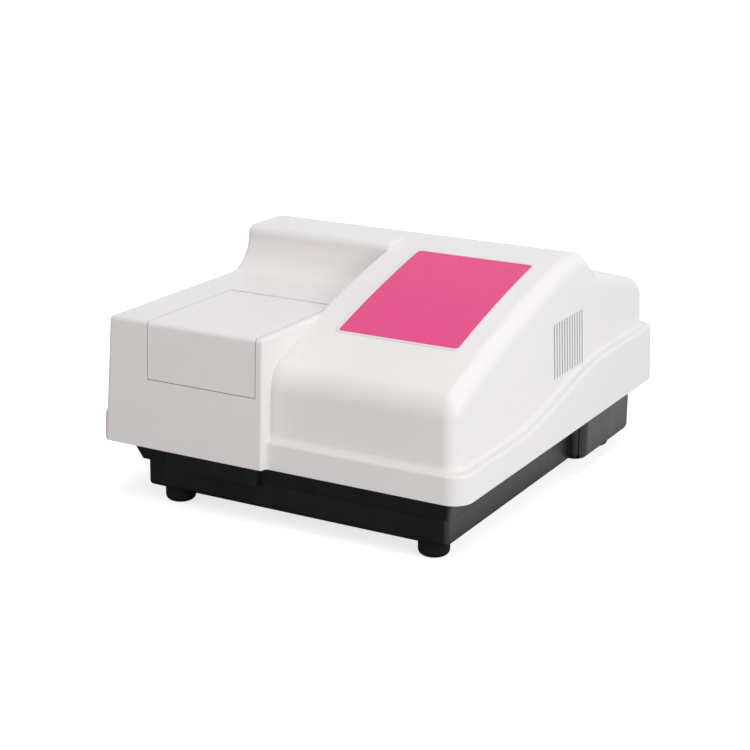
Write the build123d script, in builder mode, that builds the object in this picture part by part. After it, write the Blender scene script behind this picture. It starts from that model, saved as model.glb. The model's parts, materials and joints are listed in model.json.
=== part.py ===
from build123d import *
import os
from math import cos, pi, radians, sin, sqrt, tan

os.makedirs("parts", exist_ok=True)

# Bench-top near-infrared spectrophotometer, in millimetres.
# The origin is on the table under the middle of the cover, +Z up.
# The instrument's front faces -Y, and its own right side is -X.

# Cover: one thin moulding with a sample bay at the front left, a sloping hump beside it,
# a full-width ridge and a lower deck behind. A run is a distance back from the cover's front.
cover_width = 440.0
cover_depth = 540.0
cover_lift = 64.0
cover_wall = 3.5
side_draft = 3.0
front_lean = 1.8
bay_right_x = -9.0
bay_deck_z = 203.5
bay_edge_round = 3.0
bay_front_round = 5.0
front_jog = 8.0
brow_z = 167.0
brow_round = 30.0
slope_middle_run = 170.0
slope_middle_z = 218.0
slope_top_run = 300.0
slope_top_z = 250.2
ridge_front_run = 274.0
ridge_back_run = 354.0
ridge_back_round = 12.0
cove_round = 37.0
crest_round = 10.0
rear_deck_run = 382.0
rear_deck_front_z = 226.5
rear_deck_back_z = 184.5
rear_deck_round = 15.0
rear_top_round = 25.0
right_edge_round = 18.0
left_edge_round = 5.0

# Skirt of the cover, with a belt line that rises towards the rear
belt_step = 10.4
front_belt_step = 9.0
belt_front_z = 95.0
belt_rear_z = 131.0
belt_rise_start_run = 130.0
belt_rise_end_run = 395.0
belt_edge_round = 4.0
belt_foot_round = 5.0
skirt_draft = 2.0
skirt_corner_round = 22.0
nose_inset = 0.4

# Colour panel let into the slope, with a raised rim round it
panel_left_margin = 33.5
panel_right_margin = 45.1
panel_front_run = 100.0
panel_length = 182.0
panel_corner_round = 4.0
panel_thickness = 1.6
panel_stand_proud = 0.6
panel_gap = 0.3
rim_width = 2.6
rim_height = 0.9

# Air slits in the side wall
slit_count = 12
slit_pitch = 7.0
slit_width = 2.8
slit_bottom_z = 129.0
slit_top_z = 191.0
slit_middle_run = 297.0

# Sample lid: top plate and front flap in one moulding, hinged along its rear edge
lid_left_margin = 57.6
lid_right_margin = 9.0
lid_flap_z = 141.0
lid_length = 161.5
lid_gap = 0.8
knuckle_radius = 4.0
hinge_pin_radius = 1.5
hinge_pin_reach = 12.0
running_gap = 0.05
hinge_bracket_width = 7.0
hinge_bracket_drop = 8.5
hinge_bracket_gap = 0.3
seal_thickness = 3.2
seal_width = 5.0

# Base tray
floor_z = 18.0
tray_wall = 3.0
tray_left_inset = 58.5
tray_right_inset = 18.0
tray_front_inset = 11.0
rear_tray_run = 316.0
rear_overhang = 74.0
rear_tray_inset = 1.0
rear_tray_round = 16.0
rear_tray_bottom_round = 8.0
tray_corner_round = 4.0
tray_bottom_round = 4.0
flare_z = 47.0
flare_step_left = 7.5
flare_step_right = 1.5
flare_out_left = 11.0
flare_out_right = 4.0
flare_out_front = 2.4
apron_left_margin = 30.5
apron_right_margin = 8.0
apron_z = 43.5
apron_depth = 7.5
flange_thickness = 3.0
flange_gap = 0.5
pillar_radius = 9.0
intake_count = 9
intake_pitch = 9.0
intake_width = 3.0
intake_length = 60.0
intake_run = 210.0

# Feet and screws
foot_radius = 16.5
foot_tip_radius = 10.0
foot_left_inset = 28.5
foot_right_inset = 25.0
foot_front_inset = 21.0
foot_rear_inset = 31.0
foot_rear_side_inset = 34.0
foot_recess_radius = 6.0
foot_recess_depth = 8.0
foot_boss_radius = 7.0
foot_boss_height = 12.0
screw_radius = 2.0
screw_head_radius = 3.8
screw_head_height = 2.6
foot_screw_length = 24.0
plate_screw_length = 18.0
cover_screw_radius = 1.5
cover_screw_length = 14.0
cover_boss_radius = 5.0
cover_boss_inset = 8.5
cover_boss_front_inset = 80.0
cover_boss_rear_inset = 50.0

# Optical plate on rubber pads
pad_thickness = 3.0
plate_thickness = 6.0
plate_side_inset = 22.0
plate_front_inset = 14.0
plate_rear_inset = 34.0
plate_corner_round = 12.0
pillar_side_inset = 48.0
pillar_front_inset = 12.0
pillar_middle_run = 286.0
pillar_rear_inset = 16.0
pad_radius = 12.0
screw_gap = 0.4

# Beam line
beam_z = 118.0
sample_beam_run = 86.0
beam_spacing = 140.0

# Sample well, a black box under the lid
well_side_inset = 9.0
well_rear_inset = 5.5
well_wall = 3.0
well_front_sill_z = 150.0
well_top_gap = 0.3
port_tube_radius = 12.0
port_tube_wall = 2.0
well_corner_round = 4.0

# Cell changer in the well
rail_radius = 3.0
rail_spacing = 44.0
rail_rise = 11.0
rail_block_length = 8.0
rail_block_width = 64.0
rail_block_height = 20.0
cell_pitch = 16.0
cell_count = 4
cell_size = 12.5
cell_length = 45.0
cell_wall = 1.25
cell_gap = 0.05
stopper_height = 4.0
stopper_plug = 3.0
cell_pocket_depth = 36.0
cell_drop_below_beam = 15.0
rack_width = 22.0
rack_end_wall = 3.0
carriage_width = 58.0
carriage_height = 14.0
lead_screw_radius = 3.0
shaft_end_play = 0.4
changer_motor_size = 28.0
changer_motor_length = 30.0
motor_corner_round = 3.0
motor_bore_depth = 14.0
beam_port_radius = 4.0

# Monochromator
case_left_x = 0.0
case_right_inset = 8.0
case_beam_margin = 44.0
case_height = 70.0
case_wall = 5.0
case_lid_thickness = 4.0
slit_plate_size = 26.0
slit_plate_thickness = 2.0
slit_opening_width = 1.2
slit_opening_height = 12.0
mirror_radius = 25.0
mirror_thickness = 8.0
mirror_back_room = 34.0
mirror_offset_y = 56.0
mirror_curve_radius = 340.0
mount_width = 58.0
mount_thickness = 6.0
mount_foot = 14.0
grating_x = 45.0
grating_size = 32.0
grating_thickness = 8.0
turret_radius = 24.0
turret_thickness = 5.0
turret_shaft_radius = 4.0
turret_gap = 0.3
gear_module = 1.0
gear_teeth = 60
pinion_teeth = 12
gear_thickness = 6.0
gear_hub_radius = 9.0
gear_hub_length = 10.0
gear_top_z = 40.0
gear_hole_radius = 5.0
gear_hole_circle = 19.0
gear_hole_count = 6
tooth_backlash = 0.3
scan_motor_size = 42.0
scan_motor_length = 26.0
motor_shaft_radius = 2.5

# Light source
lamp_house_inset = 6.0
lamp_house_share = 0.36
lamp_house_width = 56.0
lamp_house_height = 84.0
lamp_house_wall = 2.0
vent_hole_count = 5
vent_hole_pitch = 9.0
vent_hole_radius = 2.5
reflector_radius = 22.0
reflector_depth = 24.0
reflector_wall = 1.5
reflector_neck_radius = 8.0
reflector_neck_length = 6.0
lamp_radius = 5.5
lamp_length = 22.0
socket_length = 10.0
socket_radius = 11.0
lens_radius = 15.0
lens_edge = 3.0
lens_dome = 4.0
lens_tube_wall = 3.0
lens_tube_length = 10.0
chopper_share = 0.495
filter_share = 0.72
disc_radius = 36.0
disc_offset_y = 26.0
disc_hub_radius = 8.0
disc_hub_length = 4.0
chopper_thickness = 1.5
chopper_window_inner = 16.0
chopper_window_outer = 33.0
chopper_window_count = 5
chopper_window_share = 0.5
filter_count = 6
filter_radius = 8.0
filter_ledge = 1.0
filter_disc_thickness = 4.0
filter_thickness = 2.5
disc_motor_size = 28.0
disc_motor_length = 20.0
disc_motor_gap = 2.0
disc_bracket_thickness = 3.0
disc_bracket_foot = 24.0

# Detector
detector_length = 40.0
detector_width = 44.0
detector_height = 66.0
detector_wall = 3.0
detector_can_radius = 8.0
detector_can_length = 9.0
detector_flange_radius = 11.0
detector_flange_thickness = 2.0
detector_window_radius = 5.0
detector_fin_count = 7
detector_fin_width = 2.0
detector_fin_height = 8.0

# Electronics and cooling
board_left_x = -30.0
board_fan_gap = 26.0
board_case_gap = 40.0
board_rear_inset = 65.0
board_thickness = 1.6
board_lift = 8.0
standoff_radius = 4.0
standoff_inset = 6.0
supply_left_x = -20.0
supply_width = 110.0
supply_rear_gap = 24.0
supply_length = 112.0
supply_height = 38.0
supply_wall = 1.5
supply_slot_count = 9
supply_slot_pitch = 8.0
supply_slot_width = 3.0
fan_size = 60.0
fan_depth = 20.0
fan_slit_offset = 5.0
fan_middle_z = 160.0
fan_side_inset = 24.0
fan_bore_radius = 28.5
fan_tip_gap = 1.2
fan_hub_radius = 13.0
fan_blade_count = 7
fan_blade_angle = 35.0
fan_blade_thickness = 1.6
fan_spoke_width = 5.0
fan_spoke_thickness = 3.0
fan_rotor_gap = 0.5
fan_bracket_thickness = 3.0
fan_bracket_foot = 16.0

# Rear connections, let into the tray's rear wall
connector_z = 42.0
inlet_pillar_gap = 30.0
inlet_flange_width = 50.0
inlet_flange_height = 30.0
inlet_flange_thickness = 3.0
inlet_body_width = 30.0
inlet_body_height = 22.0
inlet_body_depth = 24.0
inlet_cavity_width = 24.6
inlet_cavity_height = 16.6
inlet_cavity_depth = 17.0
inlet_pin_width = 2.0
inlet_pin_height = 4.0
inlet_pin_spacing = 14.0
switch_inlet_spacing = 50.0
switch_width = 24.0
switch_height = 30.0
switch_bezel_thickness = 2.0
switch_body_depth = 22.0
switch_wall = 2.5
rocker_gap = 0.4
rocker_tilt = 10.0
rocker_pivot_depth = 3.0
rocker_reach = 4.5
rocker_half_height = 10.0
rocker_back = 6.0
rocker_back_half_height = 4.0
rocker_hollow = 2.0
rocker_pin_radius = 1.5
rocker_pin_reach = 1.5
port_pillar_gap = 20.0
port_width = 16.0
port_height = 15.0
port_depth = 16.0
port_wall = 1.5
port_flange = 2.0
port_flange_thickness = 1.5
port_tongue_width = 8.0
port_tongue_height = 3.0
cutout_gap = 0.3


# Places worked out from the sizes above
front_y = -cover_depth / 2
rear_y = cover_depth / 2
rear_wall_y = rear_y - belt_step
side_x = cover_width / 2 - belt_step
main_front_y = front_y + front_jog + front_belt_step
slope_middle_y = front_y + slope_middle_run
slope_top_y = front_y + slope_top_run
ridge_front_y = front_y + ridge_front_run
ridge_back_y = front_y + ridge_back_run
rear_deck_front_y = front_y + rear_deck_run
belt_rise_start_y = front_y + belt_rise_start_run
belt_rise_end_y = front_y + belt_rise_end_run
lean = tan(radians(front_lean))
reach = cover_width
hump_left_x = bay_right_x - bay_edge_round
panel_left_x = bay_right_x + panel_left_margin
panel_width = side_x - panel_right_margin - panel_left_x
panel_front_y = front_y + panel_front_run
slit_middle_y = front_y + slit_middle_run
lid_left_x = lid_left_margin - side_x
lid_right_x = bay_right_x - lid_right_margin
lid_hinge_y = front_y + lid_length
pivot_z = bay_deck_z - knuckle_radius
tray_left_x = tray_left_inset - cover_width / 2
tray_right_x = cover_width / 2 - tray_right_inset
tray_front_y = front_y + tray_front_inset
rear_tray_front_y = front_y + rear_tray_run
rear_tray_back_y = rear_y - rear_overhang
rear_tray_half_width = cover_width / 2 - rear_tray_inset
apron_left_x = tray_left_x + apron_left_margin
apron_right_x = bay_right_x - apron_right_margin
intake_middle_y = front_y + intake_run
foot_front_left = (tray_left_x + foot_left_inset, tray_front_y + foot_front_inset)
foot_front_right = (tray_right_x - foot_right_inset, tray_front_y + foot_front_inset)
foot_rear_right = (rear_tray_half_width - foot_rear_side_inset, rear_tray_back_y - foot_rear_inset)
foot_rear_left = (-foot_rear_right[0], foot_rear_right[1])
cover_boss_front_y = front_y + cover_boss_front_inset
cover_boss_rear_y = rear_y - cover_boss_rear_inset
plate_half_width = cover_width / 2 - plate_side_inset
plate_front_y = front_y + plate_front_inset
plate_back_y = rear_y - plate_rear_inset
pillar_x = plate_half_width - pillar_side_inset
pillar_front_y = plate_front_y + pillar_front_inset
pillar_middle_y = plate_front_y + pillar_middle_run
pillar_rear_y = rear_tray_back_y - pillar_rear_inset
sample_beam_y = front_y + sample_beam_run
source_beam_y = sample_beam_y + beam_spacing
well_left_x = lid_left_x + well_side_inset
well_right_x = lid_right_x - well_side_inset
well_front_y = plate_front_y
well_rear_y = lid_hinge_y - well_rear_inset
case_right_x = plate_half_width - case_right_inset
case_front_y = sample_beam_y - case_beam_margin
case_back_y = source_beam_y + case_beam_margin
mirror_x = case_right_x - mirror_back_room
lamp_house_left_x = lamp_house_inset - plate_half_width
source_run = case_left_x - slit_plate_thickness - lamp_house_left_x
lamp_house_right_x = lamp_house_left_x + lamp_house_share * source_run
chopper_x = lamp_house_left_x + chopper_share * source_run
filter_x = lamp_house_left_x + filter_share * source_run
detector_left_x = lamp_house_left_x
detector_right_x = detector_left_x + detector_length
fan_right_x = cover_width / 2 - fan_side_inset
fan_middle_y = slit_middle_y + fan_slit_offset
board_right_x = fan_right_x - fan_depth - board_fan_gap
board_front_y = case_back_y + board_case_gap
board_back_y = rear_y - board_rear_inset
supply_front_y = rear_tray_back_y - supply_rear_gap - supply_length
inlet_x = inlet_pillar_gap - pillar_x
switch_x = inlet_x + switch_inlet_spacing
port_x = pillar_x - port_pillar_gap
flange_z = cover_lift + flange_thickness
plate_z = flange_z + pad_thickness
deck_z = plate_z + plate_thickness
well_floor_z = deck_z + well_wall


def corner(sketch, point):
    """Vertex of a flat outline nearest to a point."""
    return sketch.vertices().sort_by_distance(Vector(*point))[0]


def save(piece, label):
    """Names a finished piece and writes its file."""
    piece.part.label = label
    export_step(piece.part, f"parts/{label}.step")


# Outlines of the cover, drawn in the plane across its width: first value along Y, second along Z
def ridge_lines():
    slope_foot = (main_front_y + (brow_z - cover_lift) * lean, brow_z)
    slope = ThreePointArc(slope_foot, (slope_middle_y, slope_middle_z), (slope_top_y, slope_top_z))
    ridge = TangentArc(slope @ 1, (ridge_back_y, slope_top_z), tangent=slope % 1)
    return slope, ridge


def rear_points(bottom_z):
    deck_front = (rear_deck_front_y, rear_deck_front_z)
    return [deck_front, (rear_wall_y, rear_deck_back_z), (rear_wall_y, bottom_z)]


def round_rear(outline, ridge_end):
    fillet(corner(outline, ridge_end), ridge_back_round)
    fillet(corner(outline, (rear_deck_front_y, rear_deck_front_z)), rear_deck_round)
    fillet(corner(outline, (rear_wall_y, rear_deck_back_z)), rear_top_round)


def hump_outline(inset, bottom_z):
    """Profile of the right-hand part: front wall, brow, slope, ridge and rear deck."""
    with BuildSketch() as outline:
        with BuildLine():
            slope, ridge = ridge_lines()
            foot = (main_front_y - (cover_lift - bottom_z) * lean, bottom_z)
            Polyline(ridge @ 1, *rear_points(bottom_z), foot, slope @ 0)
        make_face()
        fillet(corner(outline, slope @ 0), brow_round)
        round_rear(outline, ridge @ 1)
        if inset:
            offset(amount=-inset, kind=Kind.ARC, mode=Mode.REPLACE)
    return outline.sketch


def bay_outline(inset, bottom_z):
    """Profile of the left-hand part: front wall, flat deck, cove, ridge and rear deck."""
    deck_front = (front_y + (bay_deck_z - cover_lift) * lean, bay_deck_z)
    with BuildSketch() as outline:
        with BuildLine(mode=Mode.PRIVATE):
            slope, ridge = ridge_lines()
        peak = ridge @ 0.5
        with BuildLine():
            ThreePointArc(peak, ridge @ 0.75, ridge @ 1)
            foot = (front_y - (cover_lift - bottom_z) * lean, bottom_z)
            top = [(ridge_front_y, bay_deck_z), (ridge_front_y, peak.Y), peak]
            Polyline(ridge @ 1, *rear_points(bottom_z), foot, deck_front, *top)
        make_face()
        round_rear(outline, ridge @ 1)
        fillet(corner(outline, deck_front), max(bay_front_round, inset + 1))
        fillet(corner(outline, (ridge_front_y, bay_deck_z)), cove_round)
        fillet(corner(outline, (ridge_front_y, peak.Y)), crest_round)
        if inset:
            offset(amount=-inset, kind=Kind.ARC, mode=Mode.REPLACE)
    return outline.sketch


def side_plane(inset, side):
    """Drafted side wall, side +1 at +X and -1 at -X."""
    outward = Vector(side, 0, tan(radians(side_draft))).normalized()
    return Plane(origin=(side * (side_x - inset), 0, cover_lift), x_dir=(0, 1, 0), z_dir=outward)


def wall_rim(form, side, bottom_z):
    """Edges round one drafted side wall, without its bottom edge."""
    outward = side_plane(0, side).z_dir
    flat = form.faces().filter_by(GeomType.PLANE)
    wall = flat.filter_by(lambda face: (face.normal_at() - outward).length < 0.001)[0]
    return wall.edges().filter_by(lambda edge: edge.center().Z > bottom_z + 0.5)


def hood_form(inset, bottom_z):
    """Solid body of the cover without its skirt, inset for the hollow inside."""
    bay = bay_outline(inset, bottom_z)
    hump = hump_outline(inset, bottom_z)
    with BuildPart() as bay_block:
        with BuildSketch(Plane.YZ.offset(bay_right_x - inset)):
            add(bay)
        extrude(amount=-reach)
        if not inset:
            side = bay_block.faces().sort_by(Axis.X)[-1]
            rim = side.edges().filter_by(lambda edge: edge.center().Y < slope_middle_y / 2)
            fillet(rim.filter_by(lambda edge: edge.center().Z > bottom_z + 1), bay_edge_round)
    with BuildPart() as form:
        with BuildSketch(Plane.YZ.offset(hump_left_x + inset)):
            add(hump)
        extrude(amount=reach)
        add(bay_block.part)
        if inset:
            with BuildSketch(Plane.YZ.offset(hump_left_x - inset)):
                add(bay)
                add(hump, mode=Mode.INTERSECT)
            extrude(amount=bay_edge_round + 2 * inset)
        split(bisect_by=side_plane(inset, 1), keep=Keep.BOTTOM)
        split(bisect_by=side_plane(inset, -1), keep=Keep.BOTTOM)
        fillet(wall_rim(form, 1, bottom_z), right_edge_round - inset)
        fillet(wall_rim(form, -1, bottom_z), max(left_edge_round - inset, cover_wall - 0.5))
    return form.part


def above_belt(inset):
    """Everything above the belt line, which is cut off the skirt."""
    with BuildPart() as cut:
        with BuildSketch(Plane.YZ):
            with BuildLine():
                low = belt_front_z - inset
                high = belt_rear_z - inset
                rise = Spline(
                    (belt_rise_start_y, low), (belt_rise_end_y, high), tangents=[(1, 0), (1, 0)],
                )
                Polyline(
                    rise @ 1, (reach, high), (reach, 2 * high), (-reach, 2 * high), (-reach, low),
                    rise @ 0,
                )
            make_face()
        extrude(amount=reach, both=True)
    return cut.part


def outer_rim(faces):
    """Edges that belong to only one of the given faces."""
    every = [edge for face in faces for edge in face.edges()]
    return [edge for edge in every if sum(edge.is_same(other) for other in every) == 1]


def skirt_form(inset, bottom_z):
    """Solid band round the foot of the cover, below the belt line."""
    spread = (cover_lift - bottom_z) * tan(radians(skirt_draft)) - inset
    with BuildPart() as band:
        with BuildSketch(Plane.XY.offset(bottom_z)):
            with Locations((0, (front_y + front_jog + rear_y) / 2)):
                depth = cover_depth - front_jog + 2 * spread
                RectangleRounded(cover_width + 2 * spread, depth, skirt_corner_round + spread)
        extrude(amount=2 * belt_rear_z - bottom_z, taper=skirt_draft)
        add(above_belt(inset), mode=Mode.SUBTRACT)
        if not inset:
            tops = band.faces().filter_by(lambda face: face.normal_at().Z > 0.5)
            fillet(outer_rim(tops), belt_edge_round)
    return band.part


def nose_form(inset, bottom_z):
    """The skirt's front left corner, which reaches forward with the sample bay."""
    spread = (cover_lift - bottom_z) * tan(radians(skirt_draft)) - inset
    with BuildPart() as nose:
        with BuildSketch(Plane.XY.offset(bottom_z)):
            with Locations((-cover_width / 2 - spread, front_y + nose_inset - spread)):
                width = cover_width / 2 + hump_left_x + spread - inset
                RectangleRounded(
                    width, cover_width / 2, skirt_corner_round + spread, align=(Align.MIN, Align.MIN),
                )
        extrude(amount=belt_front_z - inset - bottom_z, taper=skirt_draft)
        if not inset:
            fillet(nose.faces().sort_by(Axis.Z)[-1].edges(), belt_edge_round)
    return nose.part


# Places that repeat, and levels inside
pillar_rows = (pillar_front_y, pillar_middle_y, pillar_rear_y)
pillars = [(x, y) for x in (-pillar_x, pillar_x) for y in pillar_rows]
foot_places = [foot_front_left, foot_front_right, foot_rear_left, foot_rear_right]
boss_x = cover_width / 2 - cover_boss_inset
boss_rows = ((cover_boss_front_y, belt_front_z), (cover_boss_rear_y, belt_rear_z))
bosses = [(x, y, belt_z) for y, belt_z in boss_rows for x in (-boss_x, boss_x)]
opening_left_x = lid_left_x - lid_gap
opening_right_x = lid_right_x + lid_gap
hinge_left_x = opening_left_x - hinge_bracket_gap - hinge_bracket_width
hinge_right_x = bay_right_x - 1
inner_left_x = well_left_x + well_wall
inner_right_x = well_right_x - well_wall
inner_front_y = well_front_y + well_wall
inner_rear_y = well_rear_y - well_wall
well_top_z = bay_deck_z - cover_wall - seal_thickness - well_top_gap
rail_x = (well_left_x + well_right_x) / 2
rail_z = well_floor_z + rail_rise
cell_travel = (cell_count - 1) * cell_pitch
rack_y = sample_beam_y - cell_travel / 2
cell_bottom_z = beam_z - cell_drop_below_beam
cell_pocket = cell_size + 2 * cell_gap
case_floor_z = deck_z + case_wall
case_middle_y = (sample_beam_y + source_beam_y) / 2
gear_radius = gear_module * gear_teeth / 2
pinion_radius = gear_module * pinion_teeth / 2
pinion_x = grating_x + gear_radius + pinion_radius
disc_y = source_beam_y + disc_offset_y
lamp_house_back_x = lamp_house_left_x + lamp_house_wall
reflector_x = lamp_house_back_x + socket_length + reflector_neck_length
fan_left_x = fan_right_x - fan_depth
tray_back_inner_y = rear_tray_back_y - tray_wall
up = (0, 0, 1)
down = (0, 0, -1)
rightward = (1, 0, 0)
rearward = (0, 1, 0)


# Small helpers, used inside a part block
def block(low, high, mode=Mode.ADD):
    """Box between two opposite corners."""
    size = [end - start for start, end in zip(low, high)]
    with Locations(tuple(low)):
        Box(*size, align=(Align.MIN, Align.MIN, Align.MIN), mode=mode)


def rod(start, direction, radius, length, mode=Mode.ADD):
    """Round bar or hole that begins at a point."""
    with Locations(Plane(origin=start, z_dir=direction)):
        Cylinder(radius, length, align=(Align.CENTER, Align.CENTER, Align.MIN), mode=mode)


def tower(low, high, radius):
    """Upright block with rounded corners, between two opposite corners."""
    with BuildPart() as piece:
        with BuildSketch(Plane.XY.offset(low[2])):
            with Locations(((low[0] + high[0]) / 2, (low[1] + high[1]) / 2)):
                RectangleRounded(high[0] - low[0], high[1] - low[1], radius)
        extrude(amount=high[2] - low[2])
    return piece.part


def motor_body(face, direction, size, length, shaft_radius):
    """Stepper motor: two end bells, a narrower stack between them and a bore for its shaft."""
    bell = length / 4
    front = Plane(origin=face, z_dir=direction)
    with BuildPart() as motor:
        for start in (0, length - bell):
            with BuildSketch(front.offset(start)):
                RectangleRounded(size, size, motor_corner_round)
            extrude(amount=bell)
        with BuildSketch(front.offset(bell)) as stack:
            Rectangle(size - 1, size - 1)
            chamfer(stack.vertices(), motor_corner_round)
        extrude(amount=length - 2 * bell)
        rod(face, direction, shaft_radius + running_gap, motor_bore_depth, Mode.SUBTRACT)
    return motor.part


# Top cover: hood, skirt and nose joined, hollowed, then cut for the lid, the panel and the slits
panel_back_y = panel_front_y + panel_length
panel_right_x = panel_left_x + panel_width


def over_panel(low, high, grow):
    """Slab that follows the slope between two heights, over the panel and grow beyond it."""
    slope = ridge_lines()[0]
    with BuildPart() as slab:
        with BuildSketch(Plane.YZ.offset(panel_left_x - 2 * grow)):
            with Locations(slope.arc_center):
                Circle(slope.radius + high)
                Circle(slope.radius + low, mode=Mode.SUBTRACT)
            with Locations(((panel_front_y + panel_back_y) / 2, slope_top_z)):
                Rectangle(panel_length + 4 * grow + 2, slope_top_z, mode=Mode.INTERSECT)
        extrude(amount=panel_width + 4 * grow)
        with BuildSketch(Plane.XY):
            with Locations(((panel_left_x + panel_right_x) / 2, (panel_front_y + panel_back_y) / 2)):
                RectangleRounded(
                    panel_width + 2 * grow, panel_length + 2 * grow, panel_corner_round + grow,
                )
        extrude(amount=reach, mode=Mode.INTERSECT)
    return slab.part


with BuildPart() as top_cover:
    add(hood_form(0, cover_lift))
    add(skirt_form(0, cover_lift))
    belt_edges = top_cover.edges(Select.NEW).filter_by(lambda edge: edge.center().Z > belt_front_z - 0.01)
    fillet(belt_edges.filter_by(lambda edge: edge.center().Z < belt_rear_z + 0.01), belt_foot_round)
    add(nose_form(0, cover_lift))
    hollow_z = cover_lift - 2 * cover_wall
    add(hood_form(cover_wall, hollow_z), mode=Mode.SUBTRACT)
    add(skirt_form(cover_wall, hollow_z), mode=Mode.SUBTRACT)
    add(nose_form(cover_wall, hollow_z), mode=Mode.SUBTRACT)
    # Opening for the lid, and the two hinge brackets that hang beside it
    opening_back_y = lid_hinge_y + knuckle_radius + lid_gap
    block(
        (opening_left_x, front_y - 1, lid_flap_z - lid_gap), (opening_right_x, opening_back_y, reach),
        Mode.SUBTRACT,
    )
    bracket_z = pivot_z - hinge_bracket_drop
    bracket_top_z = bay_deck_z - cover_wall + 1
    front = lid_hinge_y - hinge_bracket_width + 1
    back = lid_hinge_y + hinge_bracket_width - 1
    block((hinge_left_x, front, bracket_z), (hinge_left_x + hinge_bracket_width, back, bracket_top_z))
    block((opening_right_x + hinge_bracket_gap, front, bracket_z), (hinge_right_x, back, bracket_top_z))
    rod(
        (hinge_left_x, lid_hinge_y, pivot_z), rightward, hinge_pin_radius, hinge_right_x - hinge_left_x,
        Mode.SUBTRACT,
    )
    # Raised rim round the colour panel and the recess inside it
    recess = panel_thickness - panel_stand_proud
    add(over_panel(-recess, rim_height, panel_gap + rim_width))
    add(over_panel(-recess, reach, panel_gap), mode=Mode.SUBTRACT)
    # Air slits
    with BuildSketch(Plane.YZ.offset(side_x - 2 * cover_wall - slit_width * 2)):
        with Locations((slit_middle_y, (slit_bottom_z + slit_top_z) / 2)):
            with GridLocations(slit_pitch, 0, slit_count, 1):
                SlotOverall(slit_top_z - slit_bottom_z, slit_width, rotation=90)
    extrude(amount=reach, mode=Mode.SUBTRACT)
    # Screw bosses inside the skirt
    for x, y, belt_z in bosses:
        rod((x, y, flange_z), up, cover_boss_radius, belt_z - cover_wall + 1 - flange_z)
        rod(
            (x, y, flange_z), up, cover_screw_radius, cover_screw_length - flange_thickness + 1,
            Mode.SUBTRACT,
        )
save(top_cover, "top_cover")

# Colour panel
with BuildPart() as colour_panel:
    add(over_panel(panel_stand_proud - panel_thickness, panel_stand_proud, 0))
save(colour_panel, "colour_panel")

# Sample lid: the deck's own profile over the bay, with a round knuckle along its rear edge
with BuildPart() as sample_lid:
    with BuildSketch(Plane.YZ.offset(lid_left_x)):
        add(bay_outline(0, cover_lift))
        add(bay_outline(cover_wall, cover_lift - cover_wall), mode=Mode.SUBTRACT)
        with Locations((lid_hinge_y, lid_flap_z)):
            Rectangle(reach, reach, align=(Align.MAX, Align.MIN), mode=Mode.INTERSECT)
        with Locations((lid_hinge_y, pivot_z)):
            Circle(knuckle_radius)
    extrude(amount=lid_right_x - lid_left_x)
    bore = hinge_pin_radius + running_gap
    for x, way in ((lid_left_x, 1), (lid_right_x, -1)):
        rod(
            (x, lid_hinge_y, pivot_z), (way, 0, 0), bore, hinge_pin_reach + shaft_end_play,
            Mode.SUBTRACT,
        )
save(sample_lid, "sample_lid")

with BuildPart() as hinge_pins:
    left_length = lid_left_x + hinge_pin_reach - hinge_left_x
    rod((hinge_left_x, lid_hinge_y, pivot_z), rightward, hinge_pin_radius, left_length)
    right_start = lid_right_x - hinge_pin_reach
    rod((right_start, lid_hinge_y, pivot_z), rightward, hinge_pin_radius, hinge_right_x - right_start)
save(hinge_pins, "hinge_pins")

# Foam seal under the lid, over the well's side and rear rims
with BuildPart() as lid_seal:
    spread = (seal_width - well_wall) / 2
    low_z = bay_deck_z - cover_wall - seal_thickness
    high_z = bay_deck_z - cover_wall
    block(
        (well_left_x - spread, inner_front_y, low_z),
        (well_right_x + spread, well_rear_y + spread, high_z),
    )
    block(
        (inner_left_x + spread, front_y, low_z),
        (inner_right_x - spread, inner_rear_y - spread, high_z), Mode.SUBTRACT,
    )
save(lid_seal, "lid_seal")

# Base tray: front tub, wider rear tub, flared rim and the flange that carries the cover
with BuildPart() as rear_tub:
    with BuildSketch(Plane.XY.offset(floor_z)) as plan:
        with Locations((0, (rear_tray_front_y + rear_tray_back_y) / 2)):
            Rectangle(2 * rear_tray_half_width, rear_tray_back_y - rear_tray_front_y)
        fillet(plan.vertices(), rear_tray_round)
    extrude(amount=cover_lift - floor_z)
    fillet(rear_tub.faces().sort_by(Axis.Z)[0].edges(), rear_tray_bottom_round)

with BuildPart() as front_tub:
    add(tower(
        (tray_left_x, tray_front_y, floor_z), (tray_right_x, tray_back_inner_y - 1, cover_lift),
        tray_corner_round + 2,
    ))
    fillet(front_tub.faces().sort_by(Axis.Z)[0].edges(), tray_bottom_round)

with BuildPart() as flare:
    with BuildSketch(Plane.XY.offset(flare_z)):
        with Locations((tray_left_x - flare_step_left, tray_front_y - 1)):
            low_width = tray_right_x + flare_step_right - tray_left_x + flare_step_left
            Rectangle(low_width, rear_tray_back_y / 2 - tray_front_y, align=(Align.MIN, Align.MIN))
    with BuildSketch(Plane.XY.offset(cover_lift)):
        with Locations((
            tray_left_x - flare_step_left - flare_out_left, tray_front_y - flare_out_front,
        )):
            high_width = low_width + flare_out_left + flare_out_right - flare_step_right
            high_depth = rear_tray_back_y / 2 - tray_front_y + flare_out_front - 1
            Rectangle(high_width, high_depth, align=(Align.MIN, Align.MIN))
    loft()
    fillet(
        flare.edges().filter_by(lambda edge: edge.length < 2 * (cover_lift - flare_z)),
        tray_corner_round,
    )

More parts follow.
